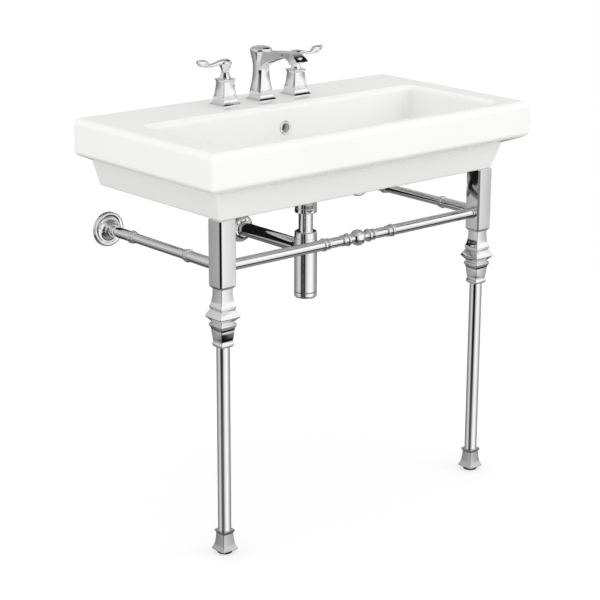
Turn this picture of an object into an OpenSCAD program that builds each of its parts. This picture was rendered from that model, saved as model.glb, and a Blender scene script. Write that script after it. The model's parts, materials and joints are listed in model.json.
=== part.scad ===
// Console basin: a white vitreous china basin that is bolted to the wall at its back
// and carried at its front corners by two polished legs joined by turned rails.
// X runs to the right, Y into the wall, Z up. The origin lies on the wall plane,
// halfway between the two wall bolts of the basin.

/* [Basin] */
// Width of the basin over its rim
basin_w = 900; // [820:5:1050]
// Depth of the basin from the wall to the front of the rim
basin_d = 480; // [460:5:560]
// Height of the rim above the floor
rim_h = 880; // [860:5:920]
// How far the wall bolts lie below the rim
hanger_drop = 90; // [80:1:95]
// Distance between the two wall bolts
hanger_pitch = 280; // [260:5:300]
// Radius of each wall bolt hole
hanger_hole_r = 7; // [5:0.5:9]
// Height of the china body from its underside to the rim
china_h = 153; // [150:1:165]
// Height of the rim's moulding, down to where the apron starts
rim_t = 94.5; // [92:0.5:100]
// Length of the straight face of the rim below its rounded top edge
rim_face_h = 54; // [45:1:58]
// Radius of the rounded top edge of the rim, outside and inside
lip_r = 14; // [8:1:16]
// Radius of the rounded lower edge of the rim
rim_low_r = 13; // [8:1:14]
// Radius of the rim's upright corners
rim_corner_r = 6; // [4:1:14]
// Radius of the rim's top edge at the wall
back_edge_r = 7; // [3:1:10]
// How far the top of the apron lies in from the rim
apron_top_in = 42; // [36:1:46]
// How far the foot of the apron lies in from the rim at the sides
apron_side_in = 61; // [50:1:68]
// How far the foot of the apron lies in from the rim at the front
apron_front_in = 55; // [48:1:60]
// Width of the rim beside the bowl
bowl_side_rim = 70; // [62:1:90]
// Width of the rim in front of the bowl
bowl_front_rim = 40; // [38:1:60]
// Depth of the tap deck behind the bowl
deck_d = 160; // [156:1:175]
// Depth of the bowl to its floor
bowl_depth = 124; // [116:1:126]
// Radius between the bowl's walls and its floor
bowl_floor_r = 30; // [20:1:34]
// Radius of the bowl's upright corners
bowl_corner_r = 20; // [14:1:30]
// Thickness of the china at the deck
deck_t = 16; // [12:1:20]
// Thickness of the china at the back wall and behind the bowl
back_t = 14; // [11:1:18]
// Thickness of the apron at its foot, in front of the recess under the bowl
apron_t = 22; // [16:1:26]
// Depth of the recess under the bowl
recess_h = 15; // [10:1:16]
// Height of the overflow hole below the rim
overflow_drop = 52; // [46:1:60]
// Radius of the overflow ring
overflow_ring_r = 15.5; // [14:0.5:18]

/* [Taps] */
// Distance of the tap holes from the wall
tap_back = 79; // [76:1:84]
// Distance from the spout to each handle
tap_pitch = 101.6; // [98:0.2:115]
// Radius of each tap hole in the deck
tap_hole_r = 17.5; // [16.5:0.5:19]
// Half width of the square foot of each tap body
tap_foot = 25.5; // [24:0.5:28]
// Height of the square handle bodies
handle_h = 57.5; // [54:0.5:66]
// Reach of each lever from its own axis
lever_reach = 78; // [70:1:90]
// Reach of the spout from its column to the middle of its outlet
spout_reach = 128; // [115:1:140]
// Height of the spout's crown above the deck
spout_h = 120; // [112:1:132]
// Opening angle of each lever
lever_turn = 90; // [80:1:90]

/* [Waste] */
// Distance of the drain and trap from the wall
drain_back = 234; // [220:1:250]
// Radius of the drain flange in the bowl
drain_flange_r = 32; // [30:0.5:34]
// Radius of the threaded drain body
drain_r = 22; // [21:0.5:23]
// Radius of the tailpiece and of the waste pipe
pipe_r = 16; // [15:0.5:17]
// Radius of the trap body
trap_r = 25.5; // [24:0.5:28]
// How far the trap's underside hangs below the rim
trap_drop = 425; // [410:1:450]
// How far the waste pipe lies below the rim
waste_drop = 312; // [308:1:318]
// Length of waste pipe that reaches into the wall
waste_tail = 40; // [20:1:60]
// Radius of the flange that covers the hole in the wall
waste_flange_r = 33; // [30:1:38]
// Travel of the drain plug between open and shut
plug_travel = 8; // [5:0.5:9]

/* [Legs] */
// How far each leg's axis lies in from the side of the rim
leg_side_in = 80.6; // [76:0.2:92]
// How far each leg's axis lies back from the front of the rim
leg_front_in = 75; // [73:0.5:84]
// Width of the square post
post_w = 42; // [39:0.5:43]
// Length of the square post under the basin
post_len = 144; // [141:1:149]
// Thickness of the post's wall
post_wall = 2.5; // [2:0.1:3.5]
// Radius of the leg tube
tube_r = 14; // [13:0.25:14.5]
// Thickness of the leg tube's wall
tube_wall = 1.5; // [1:0.1:2.5]
// Height of the foot's top plate above the floor
foot_top_h = 51; // [48:1:56]
// Half width of the foot at its base
foot_half = 20; // [18.5:0.5:23]
// Radius of the rubber pad under each foot
pad_r = 16; // [13:0.5:17]
// Height of the rubber pad
pad_h = 7; // [5:0.5:8]
// Travel of each levelling foot
level_travel = 15; // [5:1:18]

/* [Rails] */
// How far the rails lie below the rim
rail_drop = 254; // [246:1:260]
// Radius of the rails
rail_r = 11.75; // [10.5:0.25:12.5]
// Radius of the ball in the middle of the front rail
ball_r = 17.5; // [16:0.5:20]
// Radius of the large rings on the rails
ring_r = 14.25; // [13.5:0.25:15.5]
// Radius of the small rings on the rails
bead_r = 12.75; // [12.6:0.1:13.4]
// Radius of the rails' wall flanges
flange_r = 38; // [36:0.5:42]
// Distance from each end of a side rail to its ring
side_ring_in = 98; // [85:1:120]
// Radius of the circle of screws behind each wall flange
anchor_screw_r = 21; // [20:0.5:22]

/* [Hidden] */
$fn = 64;
hull_fn = 32;

// Clearances
fit = 0.1;
run_fit = 0.05;
seat_gap = 0.3;
cut = 1;

// Levels, all measured from the wall bolts
rim_z = hanger_drop;
floor_z = rim_z - rim_h;
china_low_z = rim_z - china_h;
apron_top_z = rim_z - rim_t;
rim_face_low_z = rim_z - lip_r - rim_face_h;
deck_low_z = rim_z - deck_t;
bowl_floor_z = rim_z - bowl_depth;
bowl_bend_z = bowl_floor_z + bowl_floor_r;
drain_dish_z = bowl_floor_z - 5.5;
drain_seat_z = drain_dish_z - 3.5;
overflow_z = rim_z - overflow_drop;
rail_z = rim_z - rail_drop;
waste_z = rim_z - waste_drop;
leg_x = basin_w / 2 - leg_side_in;
leg_back = basin_d - leg_front_in;

// Bowl walls
bowl_half = basin_w / 2 - bowl_side_rim;
bowl_front_y = -basin_d + bowl_front_rim;
bowl_taper_side = 8;
bowl_taper_back = 6;
bowl_taper_front = 18;
bowl_wall_h = rim_z - lip_r - bowl_bend_z;
bowl_back_angle = atan(bowl_taper_back / bowl_wall_h);

// Hollow under the deck, and the overflow duct that runs down inside it
duct_half = 30;
duct_wall = 8;
duct_gap = 14;
hollow_front = deck_d - 12;
hollow_half = basin_w / 2 - apron_side_in - back_t;
duct_back = hollow_front - duct_gap - duct_wall;
duct_top_z = overflow_z + overflow_ring_r + 8;
duct_port_z = china_low_z + 9;
duct_port_r = 4.5;
duct_rib_half = 14;
recess_half = leg_x - post_w / 2 - 3.5;
recess_front_y = -basin_d + apron_front_in + apron_t;
overflow_hole_r = overflow_ring_r - 4.5;
overflow_y = -deck_d - bowl_taper_back * (rim_z - lip_r - overflow_z) / bowl_wall_h;
overflow_ring_t = 3;

// Tap parts below the deck
shank_r = 15;
shank_bore_r = 7;
washer_t = 3;
deck_nut_t = 10;
deck_nut_half = 20;
tee_h = 22;
tee_low_z = deck_low_z - washer_t - deck_nut_t - 35;
link_z = tee_low_z + tee_h / 2;
link_r = 4.75;
link_port_r = 7.5;
link_port_len = 8;
inlet_r = 10.4;
inlet_len = 26;
inlet_low_z = tee_low_z - inlet_len;
valve_top = 18;
cartridge_r = 11.5;
cartridge_low = -8;
cartridge_top = 33;
stem_r = 4.6;
neck_h = 14;
neck_half = 7.3;
hub_gap = 0.5;
hub_z = rim_z + handle_h + neck_h + hub_gap;
lever_top = 28;
stem_top = 16;
waterway_r = 2.8;
waterway_start = -16.5;
waterway_end = -8;
nozzle_bore_r = 9;
nozzle_bore_h = 12;
tap_y = -tap_back;

// Waste parts, from the bowl down to the trap
drain_hole_r = drain_r + 0.5;
throat_r = drain_r - 2;
throat_bore_r = throat_r - 3;
gasket_r = drain_r + 9;
gasket_t = 4;
drain_washer_t = 2;
drain_nut_t = 10;
drain_nut_half = drain_r + 7;
tail_nut_r = drain_r + 2.6;
tail_nut_h = 22;
tail_nut_drop = 77;
tail_nut_low_z = china_low_z - tail_nut_drop;
tail_lip_t = 6;
pipe_wall = 1.2;
depth_mark = 0.3;
trap_low_z = rim_z - trap_drop;
trap_cup_h = 13;
trap_seal_t = 1.5;
trap_body_low_z = trap_low_z + trap_cup_h + trap_seal_t;
trap_wall = 2.5;
trap_shoulder_z = waste_z + 24;
trap_neck_r = trap_r - 3.5;
trap_neck_h = 9;
trap_washer_t = 2;
trap_nut_h = 15;
trap_boss_r = pipe_r + 2;
trap_boss_len = 5;
dip_low_z = trap_body_low_z + 30;
drain_y = -drain_back;
plug_r = drain_flange_r - 6;
plug_cap_t = 5;
plug_seal_t = 2;
plug_stem_r = 5;
throat_len = 46;
flange_rise = 4;
flange_land = flange_rise - 0.8;
seal_lip = plug_seal_t - 0.2;
plug_rest_z = drain_seat_z + flange_land + seat_gap + seal_lip + plug_travel;
guide_low_z = drain_seat_z - 34;
guide_h = 18;

// Leg parts
leg_y = -leg_back;
post_half = post_w / 2;
post_edge = 3.3;
arris = 1.2;
post_plate_t = 8;
top_pad_t = 1;
post_top_z = china_low_z - top_pad_t;
post_low_z = post_top_z - post_len;
stud_r = 5;
stud_rise = 16;
plug_plate_t = 8;
baluster_h = 124;
baluster_low_z = post_low_z - baluster_h;
tie_r = 4;
foot_top_z = floor_z + foot_top_h;
foot_low_z = floor_z + pad_h + 0.5;
level_stud_r = 5;
level_stud_h = 26;

// Rail parts
rail_ball_flat = 15;
rail_socket_r = 8;
rail_socket_d = 30;
anchor_r = 27;
anchor_t = 5;
anchor_hole_r = 2.6;
anchor_screws = 3;
rail_wall_gap = anchor_t + 1;
bolt_r = 3;
bolt_head_r = 5.5;
bolt_head_t = 4;
bolt_bite = 14;
side_rail_end = leg_back - post_half;
front_rail_end = leg_x - post_half;
china_white = "#f7f7f5";
chrome = "#d9dcdf";
brass = "#c9a752";
copper = "#c07a4e";
rubber = "#1d1d1f";
white_vinyl = "#efefec";

// A square turning: the outline is a list of [height, half width], and the chamfer is
// how much of each side its corner facets take. A third number sets it for one height.
module square_turning(outline, chamfer) {
    reach = 2 * max([for (p = outline) p[1]]) + 2;
    side = [for (p = outline) [p[1], p[0]]];
    corner = [for (p = outline)
        [(p[1] - (len(p) > 2 ? p[2] : chamfer) / 2) * sqrt(2), p[0]]];
    intersection() {
        upright_sheet(both_sides(side), reach);
        rotate([0, 0, 90]) upright_sheet(both_sides(side), reach);
        rotate([0, 0, 45]) upright_sheet(both_sides(corner), 2 * reach);
        rotate([0, 0, -45]) upright_sheet(both_sides(corner), 2 * reach);
    }
}

// Half an outline and its mirror image
function both_sides(half) = concat(
    half, [for (i = [len(half) - 1:-1:0]) [-half[i][0], half[i][1]]]
);

function both_widths(half) = concat(
    half, [for (i = [len(half) - 1:-1:0]) [half[i][0], -half[i][1]]]
);

module upright_sheet(outline, depth) {
    rotate([90, 0, 0])
        linear_extrude(height = depth, center = true) polygon(outline);
}

// A ring with a flat top and bottom
module ring(outer, inner, low, high) {
    translate([0, 0, low]) difference() {
        cylinder(r = outer, h = high - low);
        translate([0, 0, -cut]) cylinder(r = inner, h = high - low + 2 * cut);
    }
}

// A nut with six flats, given half its width across the flats
module hex_nut(half, inner, low, high) {
    translate([0, 0, low]) difference() {
        cylinder(r = half / cos(30), h = high - low, $fn = 6);
        translate([0, 0, -cut]) cylinder(r = inner, h = high - low + 2 * cut);
    }
}

// A turned solid, from a list of [radius, height] that starts and ends on the axis
module turning(outline) {
    rotate_extrude() polygon(outline);
}

// A plate outline with rounded corners, given half its length each way
module rounded_plate(half_x, half_y, radius) {
    square([2 * half_x, 2 * (half_y - radius)], center = true);
    square([2 * (half_x - radius), 2 * half_y], center = true);
    for (x = [radius - half_x, half_x - radius])
        for (y = [radius - half_y, half_y - radius])
            translate([x, y]) circle(r = radius);
}

// Children drawn with +Z away from the wall are laid down to stand out of it
module out_of_wall() {
    rotate([90, 0, 0]) children();
}

// A bead that runs round a rail, from one height to the next
function bead(radius, low, high) = [
    for (i = [0:6]) [
        radius - (high - low) / 2 * (1 - sin(i * 30)),
        (low + high) / 2 - (high - low) / 2 * cos(i * 30)
    ]
];

// The china body
module outline_corners(half, front, back, radius, z, height = 0.1) {
    for (x = [-half + radius, half - radius])
        for (y = [front + radius, back - radius])
            translate([x, y, z])
                cylinder(r = radius, h = height, $fn = hull_fn);
}

// Front view of the rim's moulding beyond the given half width, or its side view
module rim_outline(half, back_r) {
    low = [half - rim_low_r, rim_face_low_z];
    foot = [half - apron_top_in, apron_top_z];
    reach = foot - low;
    turn = atan2(reach[1], reach[0]) + acos(rim_low_r / norm(reach));
    touch = low + rim_low_r * [cos(turn), sin(turn)];
    polygon([
        [0, apron_top_z], foot, touch, [half, rim_face_low_z], [half, rim_z - lip_r],
        [half - lip_r, rim_z], [back_r, rim_z], [0, rim_z - back_r]
    ]);
    translate([half - lip_r, rim_z - lip_r]) circle(r = lip_r);
    translate(low) circle(r = rim_low_r);
    if (back_r > 0) translate([back_r, rim_z - back_r]) circle(r = back_r);
}

module rim_solid() {
    intersection() {
        rotate([90, 0, 0]) linear_extrude(height = basin_d) {
            rim_outline(basin_w / 2, 0);
            mirror([1, 0]) rim_outline(basin_w / 2, 0);
        }
        rotate([90, 0, -90])
            linear_extrude(height = basin_w, center = true) rim_outline(basin_d, back_edge_r);
        translate([0, -basin_d / 2, china_low_z]) linear_extrude(height = china_h)
            rounded_plate(basin_w / 2, basin_d / 2, rim_corner_r);
    }
}

module apron_solid() {
    foot_r = 5;
    hull() {
        outline_corners(
            basin_w / 2 - apron_top_in, -basin_d + apron_top_in, 0, rim_corner_r + 1, apron_top_z
        );
        for (a = [0:30:90]) {
            inset = foot_r * (1 - cos(a));
            outline_corners(
                basin_w / 2 - apron_side_in - inset, -basin_d + apron_front_in + inset, 0,
                rim_corner_r + 1 - inset, china_low_z + foot_r * (1 - sin(a))
            );
        }
        outline_corners(basin_w / 2 - apron_side_in - foot_r,
            -basin_d + apron_front_in + foot_r, 0, 8, china_low_z);
    }
}

module bowl_slice(grow, z) {
    outline_corners(
        bowl_half + grow, bowl_front_y - grow, -deck_d + grow, bowl_corner_r + grow, z
    );
}

module bowl_lip_cut() {
    step = 22.5;
    for (a = [0:step:90 - step])
        hull() {
            bowl_slice(lip_r * (1 - cos(a)), rim_z - lip_r + lip_r * sin(a));
            bowl_slice(lip_r * (1 - cos(a + step)), rim_z - lip_r + lip_r * sin(a + step));
        }
}

module bowl_cut() {
    hull() {
        bowl_slice(0, rim_z - lip_r);
        for (a = [0:30:90]) {
            inset = bowl_floor_r * (1 - cos(a));
            outline_corners(
                bowl_half - bowl_taper_side - inset,
                bowl_front_y + bowl_taper_front + inset,
                -deck_d - bowl_taper_back - inset,
                bowl_corner_r + 4, bowl_bend_z - bowl_floor_r * sin(a)
            );
        }
        translate([0, drain_y, drain_dish_z])
            cylinder(r = drain_flange_r + 1, h = 0.01, $fn = hull_fn);
    }
}

module overflow_duct() {
    translate([-duct_half, -hollow_front - cut, china_low_z])
        cube([2 * duct_half, hollow_front - duct_back + cut, duct_top_z - china_low_z]);
}

module overflow_passage() {
    passage_half = duct_half - duct_wall;
    translate([-passage_half, -hollow_front, duct_port_z - 5])
        cube([2 * passage_half, duct_gap, duct_top_z - duct_wall - duct_port_z + 5]);
    translate([0, -hollow_front + duct_gap / 2, duct_port_z])
        rotate([90, 0, 0])
            cylinder(r = duct_port_r, h = drain_back - hollow_front + duct_gap / 2);
    translate([0, -hollow_front + duct_gap / 2, overflow_z])
        rotate([90, 0, 0]) cylinder(r = overflow_hole_r, h = 60);
}

module basin() {
    color(china_white) difference() {
        union() {
            difference() {
                union() {
                    rim_solid();
                    apron_solid();
                }
                translate([-hollow_half, -hollow_front, china_low_z - cut])
                    cube([2 * hollow_half, hollow_front - back_t, deck_low_z - china_low_z + cut]);
                translate([-recess_half, recess_front_y, china_low_z - cut])
                    cube([2 * recess_half, -hollow_front - recess_front_y + cut, recess_h + cut]);
            }
            overflow_duct();
            translate([0, drain_y, china_low_z])
                cylinder(r = gasket_r + 4, h = recess_h + cut);
            translate([-duct_rib_half, drain_y, china_low_z])
                cube([2 * duct_rib_half, drain_back - hollow_front, recess_h + cut]);
        }
        bowl_lip_cut();
        bowl_cut();
        overflow_passage();
        translate([0, drain_y, china_low_z - cut])
            cylinder(r = drain_hole_r, h = bowl_depth);
        translate([0, drain_y, drain_seat_z])
            cylinder(r = drain_flange_r + 0.5, h = bowl_depth);
        for (x = [-tap_pitch, 0, tap_pitch])
            translate([x, tap_y, deck_low_z - cut])
                cylinder(r = tap_hole_r, h = deck_t + 2 * cut);
        for (x = [-hanger_pitch / 2, hanger_pitch / 2])
            translate([x, cut, 0])
                rotate([90, 0, 0]) cylinder(r = hanger_hole_r, h = back_t + 2 * cut);
        for (x = [-leg_x, leg_x])
            translate([x, leg_y, china_low_z - cut])
                cylinder(r = stud_r + fit, h = stud_rise + 1 + cut);
    }
}

module overflow_ring() {
    face_r = overflow_ring_r;
    color(chrome)
        translate([0, overflow_y - seat_gap / 3, overflow_z])
            rotate([-bowl_back_angle, 0, 0])
                out_of_wall()
                    difference() {
                        turning([
                            [0, 0], [face_r, 0], [face_r, 1.2], [face_r - 1, 2.4],
                            [face_r - 3, overflow_ring_t], [0, overflow_ring_t]
                        ]);
                        translate([0, 0, -cut])
                            cylinder(r = overflow_hole_r - 1, h = overflow_ring_t + 2 * cut);
                    }
}

// The waste. Two ports let the overflow water into the drain.
module drain_ports() {
    translate([0, 0, duct_port_z])
        rotate([90, 0, 0]) cylinder(r = duct_port_r - 0.5, h = 3 * drain_r, center = true);
}

module drain_flange() {
    rise = flange_rise;
    color(chrome) translate([0, drain_y, 0]) difference() {
        translate([0, 0, drain_seat_z]) turning([
            [0, -throat_len], [throat_r, -throat_len], [throat_r, 0], [drain_flange_r, 0],
            [drain_flange_r, rise - 2.5], [drain_flange_r - 2, rise - 0.8],
            [drain_flange_r - 4, rise - 0.4], [throat_bore_r + 3, flange_land],
            [throat_bore_r, rise - 2.6], [0, rise - 2.6]
        ]);
        translate([0, 0, drain_seat_z - throat_len - cut])
            cylinder(r = throat_bore_r, h = throat_len + rise + cut);
        drain_ports();
    }
}

module drain_body() {
    low = tail_nut_low_z + tail_lip_t + 2;
    color(chrome) translate([0, drain_y, 0]) difference() {
        ring(drain_r, throat_r + fit, low, drain_seat_z - 2);
        drain_ports();
    }
}

module drain_gasket() {
    color(rubber) translate([0, drain_y, 0])
        ring(gasket_r, drain_r + fit, china_low_z - gasket_t, china_low_z);
}

module drain_washer() {
    high = china_low_z - gasket_t;
    color(brass) translate([0, drain_y, 0])
        ring(gasket_r - 1, drain_r + fit, high - drain_washer_t, high);
}

module drain_locknut() {
    high = china_low_z - gasket_t - drain_washer_t;
    color(brass) translate([0, drain_y, 0])
        hex_nut(drain_nut_half, drain_r + fit, high - drain_nut_t, high);
}

module drain_plug() {
    stem_low = guide_low_z - plug_rest_z + 1;
    color(chrome) translate([0, drain_y, plug_rest_z])
        turning([
            [0, stem_low], [plug_stem_r, stem_low], [plug_stem_r, -plug_seal_t],
            [throat_bore_r - 3, -plug_seal_t], [throat_bore_r - 3, 0],
            [plug_r, 0], [plug_r, 1.5], [plug_r - 2, 3], [plug_r / 2, plug_cap_t - 0.6],
            [4, plug_cap_t], [0, plug_cap_t]
        ]);
}

module drain_plug_seal() {
    inner = throat_bore_r - 3;
    color(rubber) translate([0, drain_y, plug_rest_z])
        ring(throat_bore_r + 3, inner, -seal_lip, 0);
}

module drain_plug_guide() {
    hub_r = plug_stem_r + 2.5;
    arm_t = 3;
    color(brass) translate([0, drain_y, guide_low_z]) difference() {
        union() {
            ring(throat_bore_r - run_fit, throat_bore_r - 2.5, 0, guide_h);
            cylinder(r = hub_r, h = guide_h);
            for (a = [0:120:240])
                rotate([0, 0, a]) translate([hub_r - 1, -arm_t / 2, 0])
                    cube([throat_bore_r - hub_r, arm_t, guide_h]);
        }
        translate([0, 0, -cut]) cylinder(r = plug_stem_r + run_fit, h = guide_h + 2 * cut);
    }
}

module tailpiece_nut() {
    lip_top = tail_lip_t;
    color(chrome) translate([0, drain_y, tail_nut_low_z]) difference() {
        turning([
            [0, 0], [tail_nut_r - 1, 0], [tail_nut_r, 1], [tail_nut_r, tail_nut_h - 1],
            [tail_nut_r - 1, tail_nut_h], [0, tail_nut_h]
        ]);
        translate([0, 0, -cut]) cylinder(r = pipe_r + fit, h = tail_nut_h + 2 * cut);
        translate([0, 0, lip_top]) cylinder(r = drain_r + fit, h = tail_nut_h);
    }
}

module tailpiece() {
    high = tail_nut_low_z + tail_lip_t;
    color(chrome) translate([0, drain_y, 0]) difference() {
        union() {
            translate([0, 0, dip_low_z]) cylinder(r = pipe_r, h = high - dip_low_z + 1.8);
            translate([0, 0, high]) cylinder(r = pipe_r + 4, h = 1.8);
        }
        translate([0, 0, dip_low_z - cut])
            cylinder(r = pipe_r - pipe_wall, h = high - dip_low_z + 2 + 2 * cut);
    }
}

module trap_inlet_nut() {
    top = trap_nut_h;
    color(chrome) translate([0, drain_y, trap_shoulder_z]) difference() {
        turning([
            [0, 0], [trap_r - 0.5, 0], [trap_r - 0.5, top - 1], [trap_r - 1.5, top], [0, top]
        ]);
        translate([0, 0, -cut]) cylinder(r = pipe_r + fit, h = top + 2 * cut);
        translate([0, 0, -cut])
            cylinder(r = trap_neck_r + fit, h = trap_neck_h + trap_washer_t + cut);
    }
}

module trap_inlet_washer() {
    low = trap_shoulder_z + trap_neck_h;
    color(rubber) translate([0, drain_y, 0])
        ring(trap_neck_r - 0.2, pipe_r + fit, low, low + trap_washer_t);
}

module trap_body() {
    high = trap_shoulder_z - trap_body_low_z;
    color(chrome) translate([0, drain_y, trap_body_low_z]) difference() {
        union() {
            cylinder(r = trap_r, h = high);
            cylinder(r = trap_neck_r, h = high + trap_neck_h);
            translate([0, 0, waste_z - trap_body_low_z])
                rotate([-90, 0, 0]) cylinder(r = trap_boss_r, h = trap_r + trap_boss_len);
        }
        translate([0, 0, -cut]) cylinder(r = trap_r - trap_wall, h = high - 4 + cut);
        cylinder(r = pipe_r + fit, h = high + trap_neck_h + cut);
        translate([0, 0, waste_z - trap_body_low_z])
            rotate([-90, 0, 0]) cylinder(r = pipe_r - pipe_wall, h = trap_r + trap_boss_len + cut);
        translate([0, trap_r, waste_z - trap_body_low_z])
            rotate([-90, 0, 0]) cylinder(r = pipe_r + fit, h = trap_boss_len + cut);
    }
}

module trap_cup() {
    spigot_r = trap_r - trap_wall - fit;
    round_r = 5;
    color(chrome) translate([0, drain_y, trap_low_z]) difference() {
        turning(concat(
            [[0, 0]],
            [for (a = [0:15:90]) [
                trap_r - round_r * (1 - sin(a)), round_r * (1 - cos(a))
            ]],
            [
                [trap_r, trap_cup_h], [spigot_r, trap_cup_h],
                [spigot_r, trap_cup_h + 9], [0, trap_cup_h + 9]
            ]
        ));
        translate([0, 0, 4]) cylinder(r = spigot_r - 2, h = trap_cup_h + 9);
    }
}

module trap_cup_seal() {
    low = trap_low_z + trap_cup_h;
    color(rubber) translate([0, drain_y, 0])
        ring(trap_r - 0.4, trap_r - trap_wall + fit, low, low + trap_seal_t);
}

module waste_pipe() {
    start = drain_back - trap_r;
    color(chrome) translate([0, waste_tail, waste_z]) out_of_wall() difference() {
        ring(pipe_r, pipe_r - pipe_wall, 0, start + waste_tail);
        ring(pipe_r + cut, pipe_r - depth_mark, waste_tail - 1, waste_tail);
    }
}

module waste_wall_flange() {
    hub_r = pipe_r + 3;
    deep = 22;
    shell = 2;
    color(chrome) translate([0, 0, waste_z]) out_of_wall() difference() {
        turning(concat(
            [[0, 0], [waste_flange_r, 0], [waste_flange_r, 1.5]],
            [for (a = [15:15:75]) [
                hub_r + (waste_flange_r - hub_r) * cos(a), 1.5 + (deep - 8) * sin(a)
            ]],
            [[hub_r, deep - 6], [hub_r, deep - 1], [hub_r - 1, deep], [0, deep]]
        ));
        translate([0, 0, -cut]) cylinder(r = pipe_r + fit, h = deep + 2 * cut);
        translate([0, 0, -cut]) turning(concat(
            [[0, 0], [waste_flange_r - shell, 0], [waste_flange_r - shell, cut]],
            [for (a = [15:15:75]) [
                hub_r + (waste_flange_r - shell - hub_r) * cos(a), cut + (deep - 10) * sin(a)
            ]],
            [[hub_r, deep - 9], [0, deep - 9]]
        ));
    }
}

// The taps
function handle_outline() = [
    [0, tap_foot], [1.5, tap_foot], [4, tap_foot - 2.6], [8, tap_foot - 5.4],
    [13, tap_foot - 7], [14, tap_foot - 5.8], [18, tap_foot - 5.8], [19.5, tap_foot - 7.2],
    [handle_h - 31, tap_foot - 8.6], [handle_h - 22, tap_foot - 9.8],
    [handle_h - 13, tap_foot - 10.6], [handle_h - 5.5, tap_foot - 11],
    [handle_h - 3, tap_foot - 9.2], [handle_h, tap_foot - 9.2]
];

module handle_body() {
    difference() {
        union() {
            square_turning(handle_outline(), arris);
            translate([0, 0, handle_h - 0.5]) square_turning([
                [0, 11.5], [0.5, 11.5], [neck_h - 5, neck_half + 1.9], [neck_h + 0.5, neck_half]
            ], arris);
        }
        translate([0, 0, -cut]) cylinder(r = shank_r + fit, h = valve_top + 0.5 + cut);
        cylinder(r = cartridge_r + fit, h = cartridge_top + 0.5);
        cylinder(r = stem_r + seat_gap, h = handle_h + neck_h + cut);
    }
}

module hot_handle_body() {
    color(chrome) translate([-tap_pitch, tap_y, rim_z]) handle_body();
}

module cold_handle_body() {
    color(chrome) translate([tap_pitch, tap_y, rim_z]) handle_body();
}

module valve_body(port_side) {
    color(brass) difference() {
        union() {
            translate([0, 0, tee_low_z - rim_z])
                cylinder(r = shank_r, h = rim_z - tee_low_z + valve_top);
            translate([0, 0, inlet_low_z - rim_z]) cylinder(r = inlet_r, h = inlet_len + cut);
            translate([0, 0, link_z - rim_z])
                rotate([0, port_side * 90, 0])
                    cylinder(r = link_port_r, h = shank_r + link_port_len);
        }
        translate([0, 0, cartridge_low]) cylinder(r = cartridge_r + fit, h = 60);
        translate([0, 0, inlet_low_z - rim_z - cut])
            cylinder(r = shank_bore_r, h = rim_z - inlet_low_z);
        translate([0, 0, link_z - rim_z])
            rotate([0, port_side * 90, 0])
                cylinder(r = link_r + fit, h = shank_r + link_port_len + cut);
    }
}

module hot_valve_body() {
    translate([-tap_pitch, tap_y, rim_z]) valve_body(1);
}

module cold_valve_body() {
    translate([tap_pitch, tap_y, rim_z]) valve_body(-1);
}

module cartridge() {
    color(brass) ring(cartridge_r, stem_r + run_fit, cartridge_low, cartridge_top);
}

module hot_cartridge() {
    translate([-tap_pitch, tap_y, rim_z]) cartridge();
}

module cold_cartridge() {
    translate([tap_pitch, tap_y, rim_z]) cartridge();
}

module stem() {
    low = cartridge_low + 6;
    color(brass) translate([0, 0, low])
        cylinder(r = stem_r, h = handle_h + neck_h + hub_gap + stem_top - low);
}

module hot_stem() {
    translate([-tap_pitch, tap_y, rim_z]) stem();
}

module cold_stem() {
    translate([tap_pitch, tap_y, rim_z]) stem();
}

// Side view of the lever's arm, as [distance from the axis, height above the hub's foot]
function lever_side() = [
    [-9, 20], [-4, 22.5], [-4, 27], [2, 28], [10, 27.6], [20, 25.6], [30, 23.2],
    [lever_reach - 39, 21.8], [lever_reach - 34, 22], [lever_reach - 30, 25],
    [lever_reach - 27, 28.4], [lever_reach - 23, 31.2], [lever_reach - 17, 32],
    [lever_reach - 8, 32.4], [lever_reach, 31.6], [lever_reach - 0.5, 29],
    [lever_reach - 3, 24.6], [lever_reach - 8, 20.4], [lever_reach - 14, 17.4],
    [lever_reach - 22, 15.4], [lever_reach - 32, 14.8], [34, 15.4], [20, 17], [12, 17.4]
];

// Plan of the lever's arm, as [distance from the axis, half width]
function lever_plan() = [
    [-12, 9], [6, 9], [16, 6.2], [28, 5], [lever_reach - 34, 4.8],
    [lever_reach - 28, 5.8], [lever_reach - 20, 7.4], [lever_reach - 11, 6.8],
    [lever_reach - 4, 4.4], [lever_reach, 2]
];

module lever() {
    difference() {
        union() {
            square_turning([
                [0, neck_half], [3, neck_half + 0.7], [8, neck_half + 1.8],
                [12, neck_half + 3.4], [16, neck_half + 5.2], [19, neck_half + 6.2],
                [22, neck_half + 6], [25.5, neck_half + 3.8], [lever_top, neck_half]
            ], arris);
            intersection() {
                upright_sheet(lever_side(), 40);
                linear_extrude(height = 60) polygon(both_widths(lever_plan()));
            }
        }
        translate([0, 0, -cut]) cylinder(r = stem_r + run_fit, h = stem_top + cut);
    }
}

module hot_lever() {
    color(chrome) translate([-tap_pitch, tap_y, hub_z]) mirror([1, 0, 0]) lever();
}

module cold_lever() {
    color(chrome) translate([tap_pitch, tap_y, hub_z]) lever();
}

module hot_link_tube() {
    color(copper) link_tube(-1);
}

module cold_link_tube() {
    color(copper) link_tube(1);
}

module link_tube(side) {
    start = shank_r + 2;
    finish = tap_pitch - shank_r - 2;
    translate([side * start, tap_y, link_z])
        rotate([0, side * 90, 0]) ring(link_r, link_r - 1, 0, finish - start);
}

module link_nuts() {
    nut_t = 9;
    near = shank_r + link_port_len + fit;
    far = tap_pitch - near - nut_t;
    color(brass)
        for (side = [-1, 1])
            for (start = [near, far])
                translate([side * start, tap_y, link_z])
                    rotate([0, side * 90, 0]) hex_nut(9, link_r + fit, 0, nut_t);
}

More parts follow.
